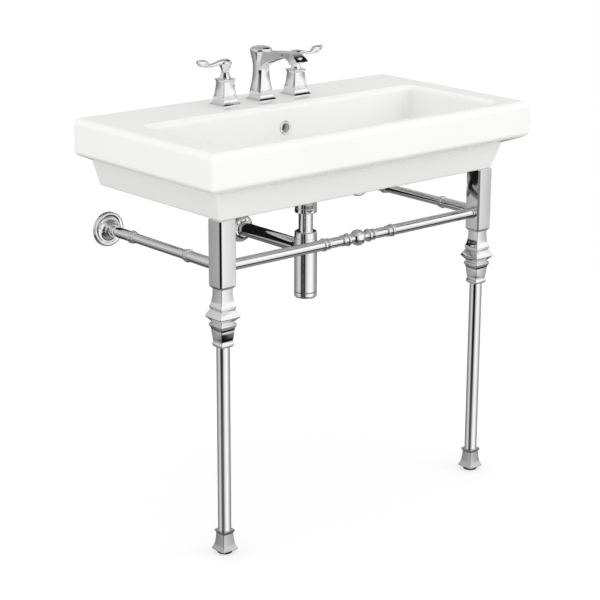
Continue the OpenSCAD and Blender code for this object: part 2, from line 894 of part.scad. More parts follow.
module spout_shank() {
    color(brass) translate([0, tap_y, 0]) difference() {
        union() {
            translate([0, 0, tee_low_z])
                cylinder(r = shank_r, h = rim_z - tee_low_z + 10);
            translate([0, 0, link_z]) rotate([0, 90, 0])
                cylinder(r = link_port_r, h = 2 * (shank_r + link_port_len), center = true);
        }
        translate([0, 0, tee_low_z + 4])
            cylinder(r = shank_bore_r, h = rim_z - tee_low_z + 10);
        translate([0, 0, link_z]) rotate([0, 90, 0])
            cylinder(r = link_r + fit, h = 4 * shank_r, center = true);
    }
}

module deck_nuts() {
    high = deck_low_z - washer_t;
    color(brass)
        for (x = [-tap_pitch, 0, tap_pitch])
            translate([x, tap_y, 0])
                hex_nut(deck_nut_half, shank_r + fit, high - deck_nut_t, high);
}

module deck_washers() {
    color(rubber)
        for (x = [-tap_pitch, 0, tap_pitch])
            translate([x, tap_y, 0])
                ring(deck_nut_half + 4, shank_r + fit, deck_low_z - washer_t, deck_low_z);
}

function column_outline() = [
    [0, tap_foot], [1.5, tap_foot], [4, tap_foot - 2.8], [8, tap_foot - 5.4],
    [12, tap_foot - 6.8], [13.5, tap_foot - 6], [17.5, tap_foot - 6], [19, tap_foot - 7.2],
    [spout_h - 88, tap_foot - 9], [spout_h - 70, tap_foot - 11],
    [spout_h - 52, tap_foot - 11.8], [spout_h - 36, tap_foot - 11],
    [spout_h - 22, tap_foot - 8.8], [spout_h - 10, tap_foot - 6.5],
    [spout_h - 5, tap_foot - 7.4], [spout_h - 1.5, tap_foot - 12],
    [spout_h, tap_foot - 19]
];

// Side view of the spout's arm, as [distance from the column, height above the deck]
function arm_side() = [
    [0, spout_h - 1], [9, spout_h - 2.5], [16, spout_h - 6.4], [24, spout_h - 8.2],
    [34, spout_h - 8.2], [47, spout_h - 6.6], [67, spout_h - 4.2],
    [spout_reach - 38, spout_h - 2.4], [spout_reach - 18, spout_h - 1.8],
    [spout_reach - 6, spout_h - 5],
    [spout_reach + 4, spout_h - 10.5], [spout_reach + 13, spout_h - 19],
    [spout_reach + 12.5, spout_h - 21], [spout_reach - 10, spout_h - 26.5],
    [spout_reach - 16, spout_h - 23], [spout_reach - 22, spout_h - 19],
    [spout_reach - 29, spout_h - 16.8], [spout_reach - 39, spout_h - 15.6],
    [spout_reach - 48, spout_h - 16.2], [spout_reach - 59, spout_h - 20],
    [spout_reach - 70, spout_h - 25], [44, spout_h - 30],
    [30, spout_h - 35.5], [20, spout_h - 41.5], [13, spout_h - 47], [0, spout_h - 50]
];

// Plan of the spout's arm, as [distance from the column, half width]
function arm_plan() = [
    [0, 14.5], [22, 13], [50, 12.4], [spout_reach - 34, 12.4],
    [spout_reach - 18, 13.6], [spout_reach, 16], [spout_reach + 14, 18]
];

module spout_arm() {
    rotate([0, 0, -90]) intersection() {
        upright_sheet(arm_side(), 80);
        linear_extrude(height = 2 * spout_h) polygon(both_widths(arm_plan()));
    }
}

module spout() {
    nozzle_top = spout_h - 22 + nozzle_bore_h;
    waterway_run = spout_reach - 7;
    waterway_rise = atan2(waterway_end - waterway_start, waterway_run);
    color(chrome) translate([0, tap_y, rim_z]) difference() {
        union() {
            square_turning(column_outline(), arris);
            spout_arm();
        }
        translate([0, 0, -cut]) cylinder(r = shank_r + fit, h = 10.5 + cut);
        cylinder(r = shank_bore_r, h = spout_h - 8);
        translate([0, 0, spout_h + waterway_start])
            rotate([90 - waterway_rise, 0, 0]) cylinder(r = waterway_r, h = waterway_run);
        translate([0, -spout_reach, spout_h - 40])
            cylinder(r = nozzle_bore_r, h = nozzle_top - spout_h + 40);
    }
}

module spout_aerator() {
    low = spout_h - 22;
    color(chrome) translate([0, tap_y - spout_reach, rim_z])
        ring(nozzle_bore_r - fit, 6, low, low + nozzle_bore_h - seat_gap);
}

// The legs
module post(inward) {
    height = post_top_z - post_low_z;
    cavity = post_half - post_wall;
    difference() {
        square_turning([
            [0, post_half - 3], [1, post_half - 1.2], [3, post_half], [height, post_half]
        ], post_edge);
        translate([-cavity, -cavity, post_plate_t])
            cube([2 * cavity, 2 * cavity, height]);
        translate([0, 0, -cut]) cylinder(r = tie_r + fit, h = post_plate_t + 2 * cut);
        translate([0, 0, rail_z - post_low_z])
            rotate([0, inward * 90, 0]) cylinder(r = bolt_r + fit, h = post_w);
        translate([0, 0, rail_z - post_low_z])
            rotate([-90, 0, 0]) cylinder(r = bolt_r + fit, h = post_w);
    }
}

module left_post() {
    color(chrome) translate([-leg_x, leg_y, post_low_z]) post(1);
}

module right_post() {
    color(chrome) translate([leg_x, leg_y, post_low_z]) post(-1);
}

// Outline of the turned casting below the post, as [height, half width]
function baluster_outline() = [
    [0, tube_r + 0.3], [3.5, tube_r + 2.4], [6.5, tube_r + 2.4], [8, tube_r + 1.6],
    [11, tube_r + 0.5], [20, tube_r + 0.9], [28, tube_r + 1.7], [39, tube_r + 3],
    [45.5, tube_r + 6.8], [49.5, tube_r + 6.8], [51, tube_r + 4], [54.5, tube_r + 4],
    [58, tube_r + 7], [63, tube_r + 11.4], [64.5, tube_r + 12.2], [66, tube_r + 11.8],
    [72, tube_r + 9], [78.5, tube_r + 5.2], [79.5, tube_r + 4.4], [80.5, tube_r + 4.4],
    [81.5, tube_r + 6], [86.5, tube_r + 6], [88.5, tube_r + 5.1], [95.5, tube_r + 3],
    [108, tube_r + 1.3], [117, tube_r + 1], [baluster_h, tube_r + 1]
];

module baluster(side) {
    color(chrome) translate([side * leg_x, leg_y, baluster_low_z]) difference() {
        square_turning(baluster_outline(), arris);
        translate([0, 0, -cut]) cylinder(r = tie_r + fit, h = baluster_h + 2 * cut);
    }
}

module left_baluster() {
    baluster(-1);
}

module right_baluster() {
    baluster(1);
}

module leg_tube(side) {
    color(chrome) translate([side * leg_x, leg_y, 0])
        ring(tube_r, tube_r - tube_wall, foot_top_z, baluster_low_z);
}

module left_leg_tube() {
    leg_tube(-1);
}

module right_leg_tube() {
    leg_tube(1);
}

module foot(side) {
    high = foot_top_z - foot_low_z;
    color(chrome) translate([side * leg_x, leg_y, foot_low_z]) difference() {
        square_turning([
            [0, foot_half - 0.4], [0.6, foot_half], [1.4, foot_half],
            [5.4, foot_half - 2], [6.2, foot_half - 2.2], [9, foot_half - 3.4],
            [15, foot_half - 4.9], [24, foot_half - 6], [high - 8, foot_half - 6.8],
            [high - 5, foot_half - 6.4], [high - 3, foot_half - 4.6],
            [high, foot_half - 4.4]
        ], arris);
        translate([0, 0, -cut])
            cylinder(r = level_stud_r + run_fit, h = level_stud_h + 2 + cut);
        translate([0, 0, level_stud_h + 4]) cylinder(r = tie_r + fit, h = high);
    }
}

module left_foot() {
    foot(-1);
}

module right_foot() {
    foot(1);
}

module leveller(side) {
    color(rubber) translate([side * leg_x, leg_y, floor_z])
        turning([
            [0, 0], [pad_r - 1, 0], [pad_r, 1], [pad_r, pad_h - 1.5],
            [pad_r - 1.5, pad_h], [level_stud_r, pad_h],
            [level_stud_r, pad_h + level_stud_h], [0, pad_h + level_stud_h]
        ]);
}

module left_leveller() {
    leveller(-1);
}

module right_leveller() {
    leveller(1);
}

module leg_tie_rods() {
    low = foot_low_z + level_stud_h + 6;
    high = post_low_z + post_plate_t;
    color(brass)
        for (x = [-leg_x, leg_x])
            translate([x, leg_y, 0]) {
                translate([0, 0, low]) cylinder(r = tie_r, h = high - low + 12);
                hex_nut(7.5, tie_r + fit, high, high + 8);
            }
}

module leg_top_studs() {
    plate = post_half - post_wall - fit;
    color(brass)
        for (x = [-leg_x, leg_x])
            translate([x, leg_y, post_top_z]) {
                translate([-plate, -plate, -plug_plate_t])
                    cube([2 * plate, 2 * plate, plug_plate_t]);
                cylinder(r = stud_r, h = top_pad_t + stud_rise);
            }
}

module leg_top_pads() {
    color(white_vinyl)
        for (x = [-leg_x, leg_x])
            translate([x, leg_y, post_top_z]) difference() {
                linear_extrude(height = top_pad_t)
                    rounded_plate(post_half - 1, post_half - 1, post_edge);
                translate([0, 0, -cut])
                    cylinder(r = stud_r + fit, h = top_pad_t + 2 * cut);
            }
}

// The rails
module side_rail(side) {
    low = rail_wall_gap;
    ring_1 = side_ring_in;
    ring_2 = side_rail_end - side_ring_in;
    outline = concat(
        [[0, low], [rail_r, low]],
        bead(ring_r, ring_1 - 7, ring_1 - 1),
        [[rail_r - 1, ring_1]],
        bead(bead_r, ring_1 + 1, ring_1 + 6),
        bead(bead_r, ring_2 - 6, ring_2 - 1),
        [[rail_r - 1, ring_2]],
        bead(ring_r, ring_2 + 1, ring_2 + 7),
        [[rail_r, side_rail_end - 8]],
        bead(ring_r - 0.75, side_rail_end - 6, side_rail_end - 1),
        [[rail_r, side_rail_end], [0, side_rail_end]]
    );
    color(chrome) translate([side * leg_x, 0, rail_z]) out_of_wall() difference() {
        turning(outline);
        translate([0, 0, low - cut])
            cylinder(r = rail_socket_r, h = rail_socket_d + cut);
        translate([0, 0, side_rail_end - bolt_bite])
            cylinder(r = bolt_r + fit, h = bolt_bite + cut);
    }
}

module left_side_rail() {
    side_rail(-1);
}

module right_side_rail() {
    side_rail(1);
}

module rail_flange(side) {
    sleeve_r = rail_r + 2.25;
    rim_d = 8;
    color(chrome) translate([side * leg_x, 0, rail_z]) out_of_wall() difference() {
        turning([
            [0, 0], [flange_r, 0], [flange_r, rim_d - 3], [flange_r - 1.2, rim_d - 1],
            [flange_r - 3.5, rim_d], [flange_r - 7, rim_d - 0.4],
            [flange_r - 10, rim_d - 1.4], [flange_r - 15, rim_d - 0.6],
            [flange_r - 19, rim_d + 1.4], [sleeve_r + 2.6, rim_d + 4],
            [sleeve_r + 2.6, rim_d + 7], [sleeve_r + 0.8, rim_d + 8.4],
            [sleeve_r + 0.8, rim_d + 10], [sleeve_r + 1.8, rim_d + 11],
            [sleeve_r + 1.8, rim_d + 14], [sleeve_r, rim_d + 16],
            [sleeve_r - 0.6, rim_d + 22], [0, rim_d + 22]
        ]);
        translate([0, 0, -cut]) cylinder(r = rail_r + fit, h = rim_d + 24);
        translate([0, 0, -cut]) cylinder(r = anchor_r + 0.5, h = anchor_t + 0.5 + cut);
    }
}

module left_rail_flange() {
    rail_flange(-1);
}

module right_rail_flange() {
    rail_flange(1);
}

module wall_anchors() {
    color(brass)
        for (x = [-leg_x, leg_x])
            translate([x, 0, rail_z]) out_of_wall() difference() {
                union() {
                    cylinder(r = anchor_r, h = anchor_t);
                    cylinder(r = rail_socket_r - fit, h = rail_wall_gap + rail_socket_d - 2);
                }
                for (i = [0:anchor_screws - 1])
                    rotate([0, 0, 90 + i * 360 / anchor_screws])
                        translate([anchor_screw_r, 0, -cut])
                            cylinder(r = anchor_hole_r, h = anchor_t + 2 * cut);
            }
}

module front_rail_half(side) {
    neck_r = 9;
    spindle_r = rail_r - 1.25;
    outline = concat(
        [[0, rail_ball_flat], [neck_r, rail_ball_flat], [neck_r, 24.5]],
        bead(ring_r, 26, 34),
        [[spindle_r - 0.5, 37]],
        bead(bead_r - 0.3, 40, 47),
        [[spindle_r, 50], [spindle_r + 0.5, 64], [spindle_r, 79]],
        bead(bead_r - 0.3, 82, 89),
        [[spindle_r - 0.5, 91.5]],
        bead(ring_r, 94, 102),
        [[rail_r, 104], [rail_r, front_rail_end - 8]],
        bead(ring_r - 0.75, front_rail_end - 6, front_rail_end - 1),
        [[rail_r, front_rail_end], [0, front_rail_end]]
    );
    color(chrome) translate([0, leg_y, rail_z]) rotate([0, side * 90, 0]) difference() {
        turning(outline);
        translate([0, 0, rail_ball_flat - cut]) cylinder(r = tie_r + fit, h = 14 + cut);
        translate([0, 0, front_rail_end - bolt_bite])
            cylinder(r = bolt_r + fit, h = bolt_bite + cut);
    }
}

module front_rail_left() {
    front_rail_half(-1);
}

module front_rail_right() {
    front_rail_half(1);
}

module front_rail_ball() {
    flat_a = asin(rail_ball_flat / ball_r);
    color(chrome) translate([0, leg_y, rail_z]) rotate([0, 90, 0]) difference() {
        turning(concat(
            [[0, -rail_ball_flat]],
            [for (i = [-12:12]) [
                ball_r * cos(flat_a * i / 12), ball_r * sin(flat_a * i / 12)
            ]],
            [[0, rail_ball_flat]]
        ));
        cylinder(r = tie_r + fit, h = 3 * ball_r, center = true);
    }
}

module ball_stud() {
    color(brass) translate([0, leg_y, rail_z])
        rotate([0, 90, 0]) cylinder(r = tie_r, h = 2 * rail_ball_flat + 24, center = true);
}

module rail_bolt() {
    inner_face = post_half - post_wall;
    translate([0, 0, inner_face - bolt_head_t]) cylinder(r = bolt_head_r, h = bolt_head_t);
    translate([0, 0, inner_face])
        cylinder(r = bolt_r, h = post_wall + bolt_bite - 2);
}

module rail_bolts() {
    color(brass)
        for (side = [-1, 1])
            translate([side * leg_x, leg_y, rail_z]) {
                rotate([0, -side * 90, 0]) rail_bolt();
                rotate([-90, 0, 0]) rail_bolt();
            }
}

basin();
overflow_ring();
drain_flange();
drain_body();
drain_gasket();
drain_washer();
drain_locknut();
drain_plug();
drain_plug_seal();
drain_plug_guide();
tailpiece_nut();
tailpiece();
trap_inlet_nut();
trap_inlet_washer();
trap_body();
trap_cup();
trap_cup_seal();
waste_pipe();
waste_wall_flange();
spout();
spout_aerator();
spout_shank();
deck_nuts();
deck_washers();
hot_valve_body();
cold_valve_body();
hot_cartridge();
cold_cartridge();
hot_handle_body();
cold_handle_body();
hot_stem();
cold_stem();
hot_lever();
cold_lever();
hot_link_tube();
cold_link_tube();
link_nuts();
left_post();
right_post();
left_baluster();
right_baluster();
left_leg_tube();
right_leg_tube();
left_foot();
right_foot();
left_leveller();
right_leveller();
leg_tie_rods();
leg_top_studs();
leg_top_pads();
left_side_rail();
right_side_rail();
left_rail_flange();
right_rail_flange();
wall_anchors();
front_rail_left();
front_rail_right();
front_rail_ball();
ball_stud();
rail_bolts();
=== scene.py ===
"""Looks of a console basin: white china on two polished turned legs, with taps and waste.

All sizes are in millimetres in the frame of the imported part: the origin lies on the wall
between the two wall bolts, X runs to the right, Y into the wall and Z up.
"""

import json
import math

import bmesh
import bpy
from mathutils import Matrix, Vector


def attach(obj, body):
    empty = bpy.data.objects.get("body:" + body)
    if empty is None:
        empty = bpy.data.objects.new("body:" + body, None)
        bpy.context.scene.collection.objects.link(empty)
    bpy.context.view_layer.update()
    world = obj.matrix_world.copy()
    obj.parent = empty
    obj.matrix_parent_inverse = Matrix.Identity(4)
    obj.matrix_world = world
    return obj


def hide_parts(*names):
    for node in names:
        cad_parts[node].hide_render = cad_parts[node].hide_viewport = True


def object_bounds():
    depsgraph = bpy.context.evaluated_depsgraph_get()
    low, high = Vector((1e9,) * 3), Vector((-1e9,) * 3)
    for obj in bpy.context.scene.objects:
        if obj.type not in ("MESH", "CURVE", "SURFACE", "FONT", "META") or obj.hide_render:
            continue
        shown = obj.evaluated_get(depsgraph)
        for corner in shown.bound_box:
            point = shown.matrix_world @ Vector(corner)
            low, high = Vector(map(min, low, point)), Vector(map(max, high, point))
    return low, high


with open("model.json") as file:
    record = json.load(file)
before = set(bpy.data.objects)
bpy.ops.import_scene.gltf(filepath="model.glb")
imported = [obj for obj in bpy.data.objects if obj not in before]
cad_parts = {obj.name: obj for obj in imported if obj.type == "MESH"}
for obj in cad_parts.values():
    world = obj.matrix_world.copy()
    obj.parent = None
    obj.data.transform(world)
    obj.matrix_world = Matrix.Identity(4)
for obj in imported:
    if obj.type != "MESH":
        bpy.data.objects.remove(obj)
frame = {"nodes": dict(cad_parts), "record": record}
cad_low, cad_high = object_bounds()


# Studio: a pale floor whose edge fades out, in an even white room that lights from all sides.
# Polished metal sees that room as a photographer sets it up: a tall light on the right, a
# greyer one on the left, black cloth round the camera and a dark floor beyond the white one.
def linear(code):
    """Linear colour of an sRGB hex code."""
    parts = [int(code[i:i + 2], 16) / 255 for i in (1, 3, 5)]
    return [p / 12.92 if p <= 0.04045 else ((p + 0.055) / 1.055) ** 2.4 for p in parts] + [1]


def add(tree, kind, links=None, **settings):
    """Adds a shader node with its settings. links gives each input an output or a value."""
    made = tree.nodes.new(kind)
    for key, value in settings.items():
        setattr(made, key, value)
    for socket, source in (links or {}).items():
        if isinstance(source, bpy.types.NodeSocket):
            tree.links.new(source, made.inputs[socket])
        else:
            made.inputs[socket].default_value = source
    return made


def ramp(tree, factor, stops):
    """Colours along a factor from 0 to 1."""
    made = add(tree, "ShaderNodeValToRGB", {"Fac": factor})
    band = made.color_ramp
    while len(band.elements) < len(stops):
        band.elements.new(0.5)
    for element, (place, code) in zip(band.elements, stops):
        element.position = place
        element.color = linear(code)
    return made.outputs["Color"]


def mixed(tree, factor, first, second, blend="MIX"):
    """Second colour over the first."""
    made = add(tree, "ShaderNodeMix", {0: factor, 6: first, 7: second},
               data_type="RGBA", blend_type=blend)
    return made.outputs[2]


def along(tree, way, x, y, z):
    """How far a direction points along another one, from -1 to 1."""
    return add(tree, "ShaderNodeVectorMath", {0: way, 1: Vector((x, y, z)).normalized()},
               operation="DOT_PRODUCT").outputs["Value"]


def between(tree, value, low, high):
    """Smooth rise from 0 at low to 1 at high."""
    return add(tree, "ShaderNodeMapRange", {"Value": value, "From Min": low, "From Max": high},
               interpolation_type="SMOOTHSTEP").outputs[0]


def chosen(tree, factor, low, high):
    """The number low where the factor is 0 and high where it is 1."""
    return add(tree, "ShaderNodeMapRange", {"Value": factor, "To Min": low, "To Max": high}).outputs[0]


def noise(tree, place, scale, detail):
    """A soft random pattern from 0 to 1, with about scale spots to a metre."""
    return add(tree, "ShaderNodeTexNoise", {
        "Vector": place, "Scale": scale, "Detail": detail}).outputs["Fac"]


def new_material(name):
    """An empty material, with its node tree and the place on the object in metres."""
    made = bpy.data.materials.new(name)
    made.use_nodes = True
    made.node_tree.nodes.clear()
    return made, made.node_tree, add(made.node_tree, "ShaderNodeTexCoord").outputs["Object"]


world = bpy.data.worlds.new("studio")
bpy.context.scene.world = world
world.use_nodes = True
tree = world.node_tree
tree.nodes.clear()
way = add(tree, "ShaderNodeTexCoord").outputs["Generated"]
ray = add(tree, "ShaderNodeLightPath").outputs
height = along(tree, way, 0, 0, 1)
# Round the room, from the wall on the left over the front at 0.5 to the wall on the right
turn = add(tree, "ShaderNodeMath", {
    0: along(tree, way, 0.76, -0.65, 0), 1: along(tree, way, -0.65, -0.76, 0)},
    operation="ARCTAN2").outputs[0]
turn = add(tree, "ShaderNodeMapRange", {
    "Value": turn, "From Min": -math.pi, "From Max": math.pi}).outputs[0]
dark_floor = ramp(tree, turn, [
    (0, "#4c4c4c"), (0.2, "#585858"), (0.3, "#585858"), (0.37, "#1c1c1c"), (0.52, "#1c1c1c"),
    (0.62, "#4c4c4c"), (0.66, "#101010"), (0.78, "#101010"), (0.84, "#6c6c6c"), (1, "#4c4c4c")])
ground = ramp(tree, turn, [
    (0, "#8c8c8c"), (0.3, "#8c8c8c"), (0.4, "#484848"), (0.5, "#484848"), (0.6, "#888888"),
    (1, "#8c8c8c")])
eye_level = ramp(tree, turn, [
    (0, "#6c6c6c"), (0.16, "#828282"), (0.194, "#949494"), (0.25, "#b4b4b4"), (0.306, "#d8d8d8"),
    (0.34, "#c8c8c8"), (0.372, "#707070"), (0.388, "#141414"), (0.476, "#141414"), (0.49, "#707070"),
    (0.51, "#b4b4b4"), (0.58, "#f0f0f0"), (0.66, "#ffffff"), (0.71, "#ececec"), (0.77, "#b0b0b0"),
    (0.86, "#8c8c8c"), (1, "#6c6c6c")])
above_eyes = ramp(tree, turn, [
    (0, "#b0b0b0"), (0.12, "#a8a8a8"), (0.2, "#c8c8c8"), (0.306, "#dcdcdc"), (0.36, "#c8c8c8"),
    (0.388, "#202020"), (0.468, "#202020"), (0.492, "#b4b4b4"), (0.53, "#f4f4f4"), (0.75, "#ffffff"),
    (0.81, "#dcdcdc"), (0.87, "#b8b8b8"), (1, "#b0b0b0")])
ceiling = ramp(tree, turn, [
    (0, "#a4a4a4"), (0.2, "#b4b4b4"), (0.4, "#b4b4b4"), (0.5, "#cccccc"), (0.65, "#e4e4e4"),
    (0.755, "#d8d8d8"), (0.78, "#141414"), (0.9, "#141414"), (0.94, "#888888"), (1, "#a4a4a4")])
eye_level = mixed(tree, between(tree, height, -0.3, -0.37), eye_level, linear("#5c5c5c"), "LIGHTEN")
mirror_room = mixed(tree, between(tree, height, -0.75, -0.6), ground, dark_floor)
mirror_room = mixed(tree, between(tree, height, -0.48, -0.42), mirror_room, eye_level)
mirror_room = mixed(tree, between(tree, height, -0.09, 0.06), mirror_room, above_eyes)
mirror_room = mixed(tree, between(tree, height, 0.5, 0.6), mirror_room, ceiling)
# Matt and glazed surfaces are lit evenly from above and below, and a little more from the front
front = chosen(tree, between(tree, along(tree, way, -0.5, -0.86, 0), -1, 1), 0.92, 1.02)
under = chosen(tree, between(tree, height, -0.7, 0.0), 1.08, front)
soft = chosen(tree, between(tree, height, 0.2, 1), under, 1.13)
strength = chosen(tree, ray["Is Glossy Ray"], soft, 1.22)
strength = chosen(tree, ray["Is Camera Ray"], strength, 1.0)
seen = mixed(tree, ray["Is Glossy Ray"], linear("#ffffff"), mirror_room)
light = add(tree, "ShaderNodeBackground", {"Color": seen, "Strength": strength})
add(tree, "ShaderNodeOutputWorld", {"Surface": light.outputs[0]})

floor_radius, floor_z = 2.4, cad_low.z
bpy.ops.mesh.primitive_circle_add(vertices=96, radius=floor_radius, fill_type="NGON",
                                  location=(0, -0.3, floor_z))
floor = bpy.context.object
floor.name = "floor"
paint, tree, place = new_material("matt white studio floor")
ray = add(tree, "ShaderNodeLightPath").outputs
away = add(tree, "ShaderNodeVectorMath", {0: place}, operation="LENGTH").outputs["Value"]
hidden = chosen(tree, ray["Is Camera Ray"],
                between(tree, away, 0.7, 1.6), between(tree, away, 1.2, floor_radius - 0.05))
hidden = add(tree, "ShaderNodeMath", {0: hidden, 1: ray["Is Glossy Ray"]}, operation="MAXIMUM").outputs[0]
white = ramp(tree, noise(tree, place, 40, 4), [(0.3, "#fcfcfc"), (0.7, "#fefefe")])
white = mixed(tree, ray["Is Camera Ray"], linear("#d4d4d4"), white)
matt = add(tree, "ShaderNodeBsdfDiffuse", {"Color": white})
glow = add(tree, "ShaderNodeEmission", {
    "Color": white, "Strength": chosen(tree, ray["Is Camera Ray"], 0, 1.04)})
lit = add(tree, "ShaderNodeMixShader", {0: 0.6, 1: matt.outputs[0], 2: glow.outputs[0]})
clear = add(tree, "ShaderNodeBsdfTransparent")
both = add(tree, "ShaderNodeMixShader", {0: hidden, 1: lit.outputs[0], 2: clear.outputs[0]})
add(tree, "ShaderNodeOutputMaterial", {"Surface": both.outputs[0]})
floor.data.materials.append(paint)


def lamp(name, place, aim, size, watts):
    """A square soft box that points at aim. Its size is in metres, and metal doesn't mirror it."""
    data = bpy.data.lights.new(name, "AREA")
    data.size = size
    data.energy = watts
    made = bpy.data.objects.new(name, data)
    bpy.context.scene.collection.objects.link(made)
    made.location = place
    made.rotation_euler = (Vector(aim) - Vector(place)).to_track_quat("-Z", "Y").to_euler()
    made.visible_glossy = False


lamp("soft box on the right", (1.9, -2.4, 1.2), (0, -0.3, -0.1), 1.6, 8)
lamp("low soft box in front", (-2.0, -2.7, -0.5), (0, -0.4, 0), 2, 8)

# A dark card behind the legs, under the basin and out of the picture, is painted shade: only the metal
# mirrors it, as a painted reflection of the shaded wall under the basin
bpy.ops.mesh.primitive_plane_add(size=1, location=(0, 0.05, -0.17), rotation=(math.pi / 2, 0, 0))
shade_card = bpy.context.object
shade_card.name = "dark card of painted shade"
shade_card.scale = (0.8, 0.2, 1)
shade_card.visible_camera = shade_card.visible_diffuse = shade_card.visible_shadow = False
shade_card_paint, tree, place = new_material("dark card of painted shade")
# Its dark grey is the painted shade that the metal mirrors in place of the shaded wall
shade_card_surface = add(tree, "ShaderNodeBsdfDiffuse", {
    "Color": ramp(tree, noise(tree, place, 90, 2), [(0.3, "#1c1c1c"), (0.7, "#242424")])})
add(tree, "ShaderNodeOutputMaterial", {"Surface": shade_card_surface.outputs[0]})
shade_card.data.materials.append(shade_card_paint)

# The camera stands where the photo was taken from, and looks ahead by yaw, pitch and roll
eye = Vector((-2.5775, -3.2240, 0.8364))
yaw, pitch, roll = (math.radians(a) for a in (40.587, 16.641, 0.216))
ahead = Vector((math.sin(yaw) * math.cos(pitch), math.cos(yaw) * math.cos(pitch), -math.sin(pitch)))
level = Vector((math.cos(yaw), -math.sin(yaw), 0))
upward = level.cross(ahead)
right = level * math.cos(roll) + upward * math.sin(roll)
up = upward * math.cos(roll) - level * math.sin(roll)
camera = bpy.data.objects.new("camera", bpy.data.cameras.new("camera"))
bpy.context.scene.collection.objects.link(camera)
camera.data.lens = 110.2
camera.data.sensor_width = 36
camera.data.clip_end = 40
camera.matrix_world = Matrix.Translation(eye) @ Matrix((right, up, -ahead)).transposed().to_4x4()
bpy.context.scene.camera = camera
bpy.context.scene.view_settings.view_transform = "Standard"


# Basin: one casting of vitreous china with a moulded rim, a tapered apron, a deck for the
# taps and a rectangular bowl, glazed all over. It's hollow under the deck, and a shallow
# recess under the bowl has a boss for the waste.
def finish_shader(tree, bump, strength, distance, **sockets):
    """Principled surface. bump is the height of its fine relief, and distance its depth in metres."""
    links = {key.replace("_", " "): value for key, value in sockets.items()}
    links["Normal"] = add(tree, "ShaderNodeBump", {
        "Height": bump, "Strength": strength, "Distance": distance}).outputs[0]
    surface = add(tree, "ShaderNodeBsdfPrincipled", links)
    add(tree, "ShaderNodeOutputMaterial", {"Surface": surface.outputs[0]})


# The glaze is a clear glassy coat on a white body: sharp soft highlights, and a slight wave
# that the eye reads as fired ceramic.
china, tree, place = new_material("glazed vitreous china")
wave = noise(tree, place, 18, 1)
finish_shader(tree, wave, 0.15, 0.001, IOR=1.52, Roughness=chosen(tree, wave, 0.07, 0.12),
              Base_Color=ramp(tree, noise(tree, place, 4, 2), [(0.3, "#f3f3f2"), (0.7, "#f6f6f5")]))


def loft(rows, steps=3):
    """A solid through rounded rectangles. A row is the centre, two unit directions, the half
    length along each, and the radius of the corners."""
    bm = bmesh.new()
    centre, a, b, half_a, half_b, corner = rows[0]
    bmesh.ops.create_grid(bm, x_segments=1, y_segments=1, size=1)
    for v in bm.verts:
        v.co = centre + a * v.co.x * half_a + b * v.co.y * half_b
    bmesh.ops.bevel(bm, geom=bm.verts[:], offset=corner, offset_type="OFFSET", segments=steps,
                    profile=0.5, affect="VERTICES", material=-1)
    bm.faces.ensure_lookup_table()
    foot = top = bm.faces[0]
    for row in rows[1:]:
        made = bmesh.ops.extrude_face_region(bm, geom=[top])["geom"]
        if top != foot:
            bmesh.ops.delete(bm, geom=[top], context="FACES_ONLY")
        top = next(g for g in made if isinstance(g, bmesh.types.BMFace))
        new_centre, new_a, new_b, new_half_a, new_half_b, new_corner = row
        for v in top.verts:
            out = v.co - centre
            ends = []
            for part, half, new_half in ((out.dot(a), half_a, new_half_a),
                                         (out.dot(b), half_b, new_half_b)):
                over = (abs(part) - (half - corner)) / corner
                ends.append(math.copysign(new_half - new_corner + new_corner * over, part))
            v.co = new_centre + new_a * ends[0] + new_b * ends[1]
        centre, a, b, half_a, half_b, corner = row
    return bm


def tower(rows, steps=3):
    """A loft along Z. A row is half the width, half the depth, the corner radius, the height,
    and how far the middle lies off in X and in Y."""
    return loft([(Vector((x, y, z)), Vector((1, 0, 0)), Vector((0, 1, 0)), half_a, half_b, corner)
                 for half_a, half_b, corner, z, x, y in rows], steps)


def turned(outline, steps=64, ring=False):
    """A solid of revolution round Z, from points of radius and height. A ring's outline is
    closed and keeps off the axis."""
    bm = bmesh.new()
    points = [bm.verts.new((r, 0, z)) for r, z in outline]
    for first, second in zip(points, points[1:] + (points[:1] if ring else [])):
        bm.edges.new((first, second))
    bmesh.ops.spin(bm, geom=bm.verts[:] + bm.edges[:], axis=(0, 0, 1), cent=(0, 0, 0),
                   steps=steps, angle=math.tau, use_merge=True)
    bmesh.ops.remove_doubles(bm, verts=bm.verts, dist=1e-4)
    bmesh.ops.recalc_face_normals(bm, faces=bm.faces)
    return bm


def rod(radius, low, high, steps=48):
    """A plain cylinder, used as a cutter or a boss."""
    return turned([(0, low), (radius, low), (radius, high), (0, high)], steps)


def slab(x0, x1, y0, y1, z0, z1, corner=1.0):
    """A block with rounded upright edges."""
    half_x, half_y = (x1 - x0) / 2, (y1 - y0) / 2
    x, y = (x0 + x1) / 2, (y0 + y1) / 2
    return tower([(half_x, half_y, corner, z0, x, y), (half_x, half_y, corner, z1, x, y)])


def moved(bm, x, y, z, *turns):
    """Turns a mesh by (degrees, axis) in order, then moves it."""
    for angle, axis in turns:
        bmesh.ops.transform(bm, matrix=Matrix.Rotation(math.radians(angle), 4, axis), verts=bm.verts)
    bmesh.ops.translate(bm, vec=(x, y, z), verts=bm.verts)
    return bm


def as_object(bm, name):
    """Puts a mesh into the scene under a name and frees it."""
    bmesh.ops.recalc_face_normals(bm, faces=bm.faces)
    mesh = bpy.data.meshes.new(name)
    bm.to_mesh(mesh)
    bm.free()
    made = bpy.data.objects.new(name, mesh)
    bpy.context.scene.collection.objects.link(made)
    return made


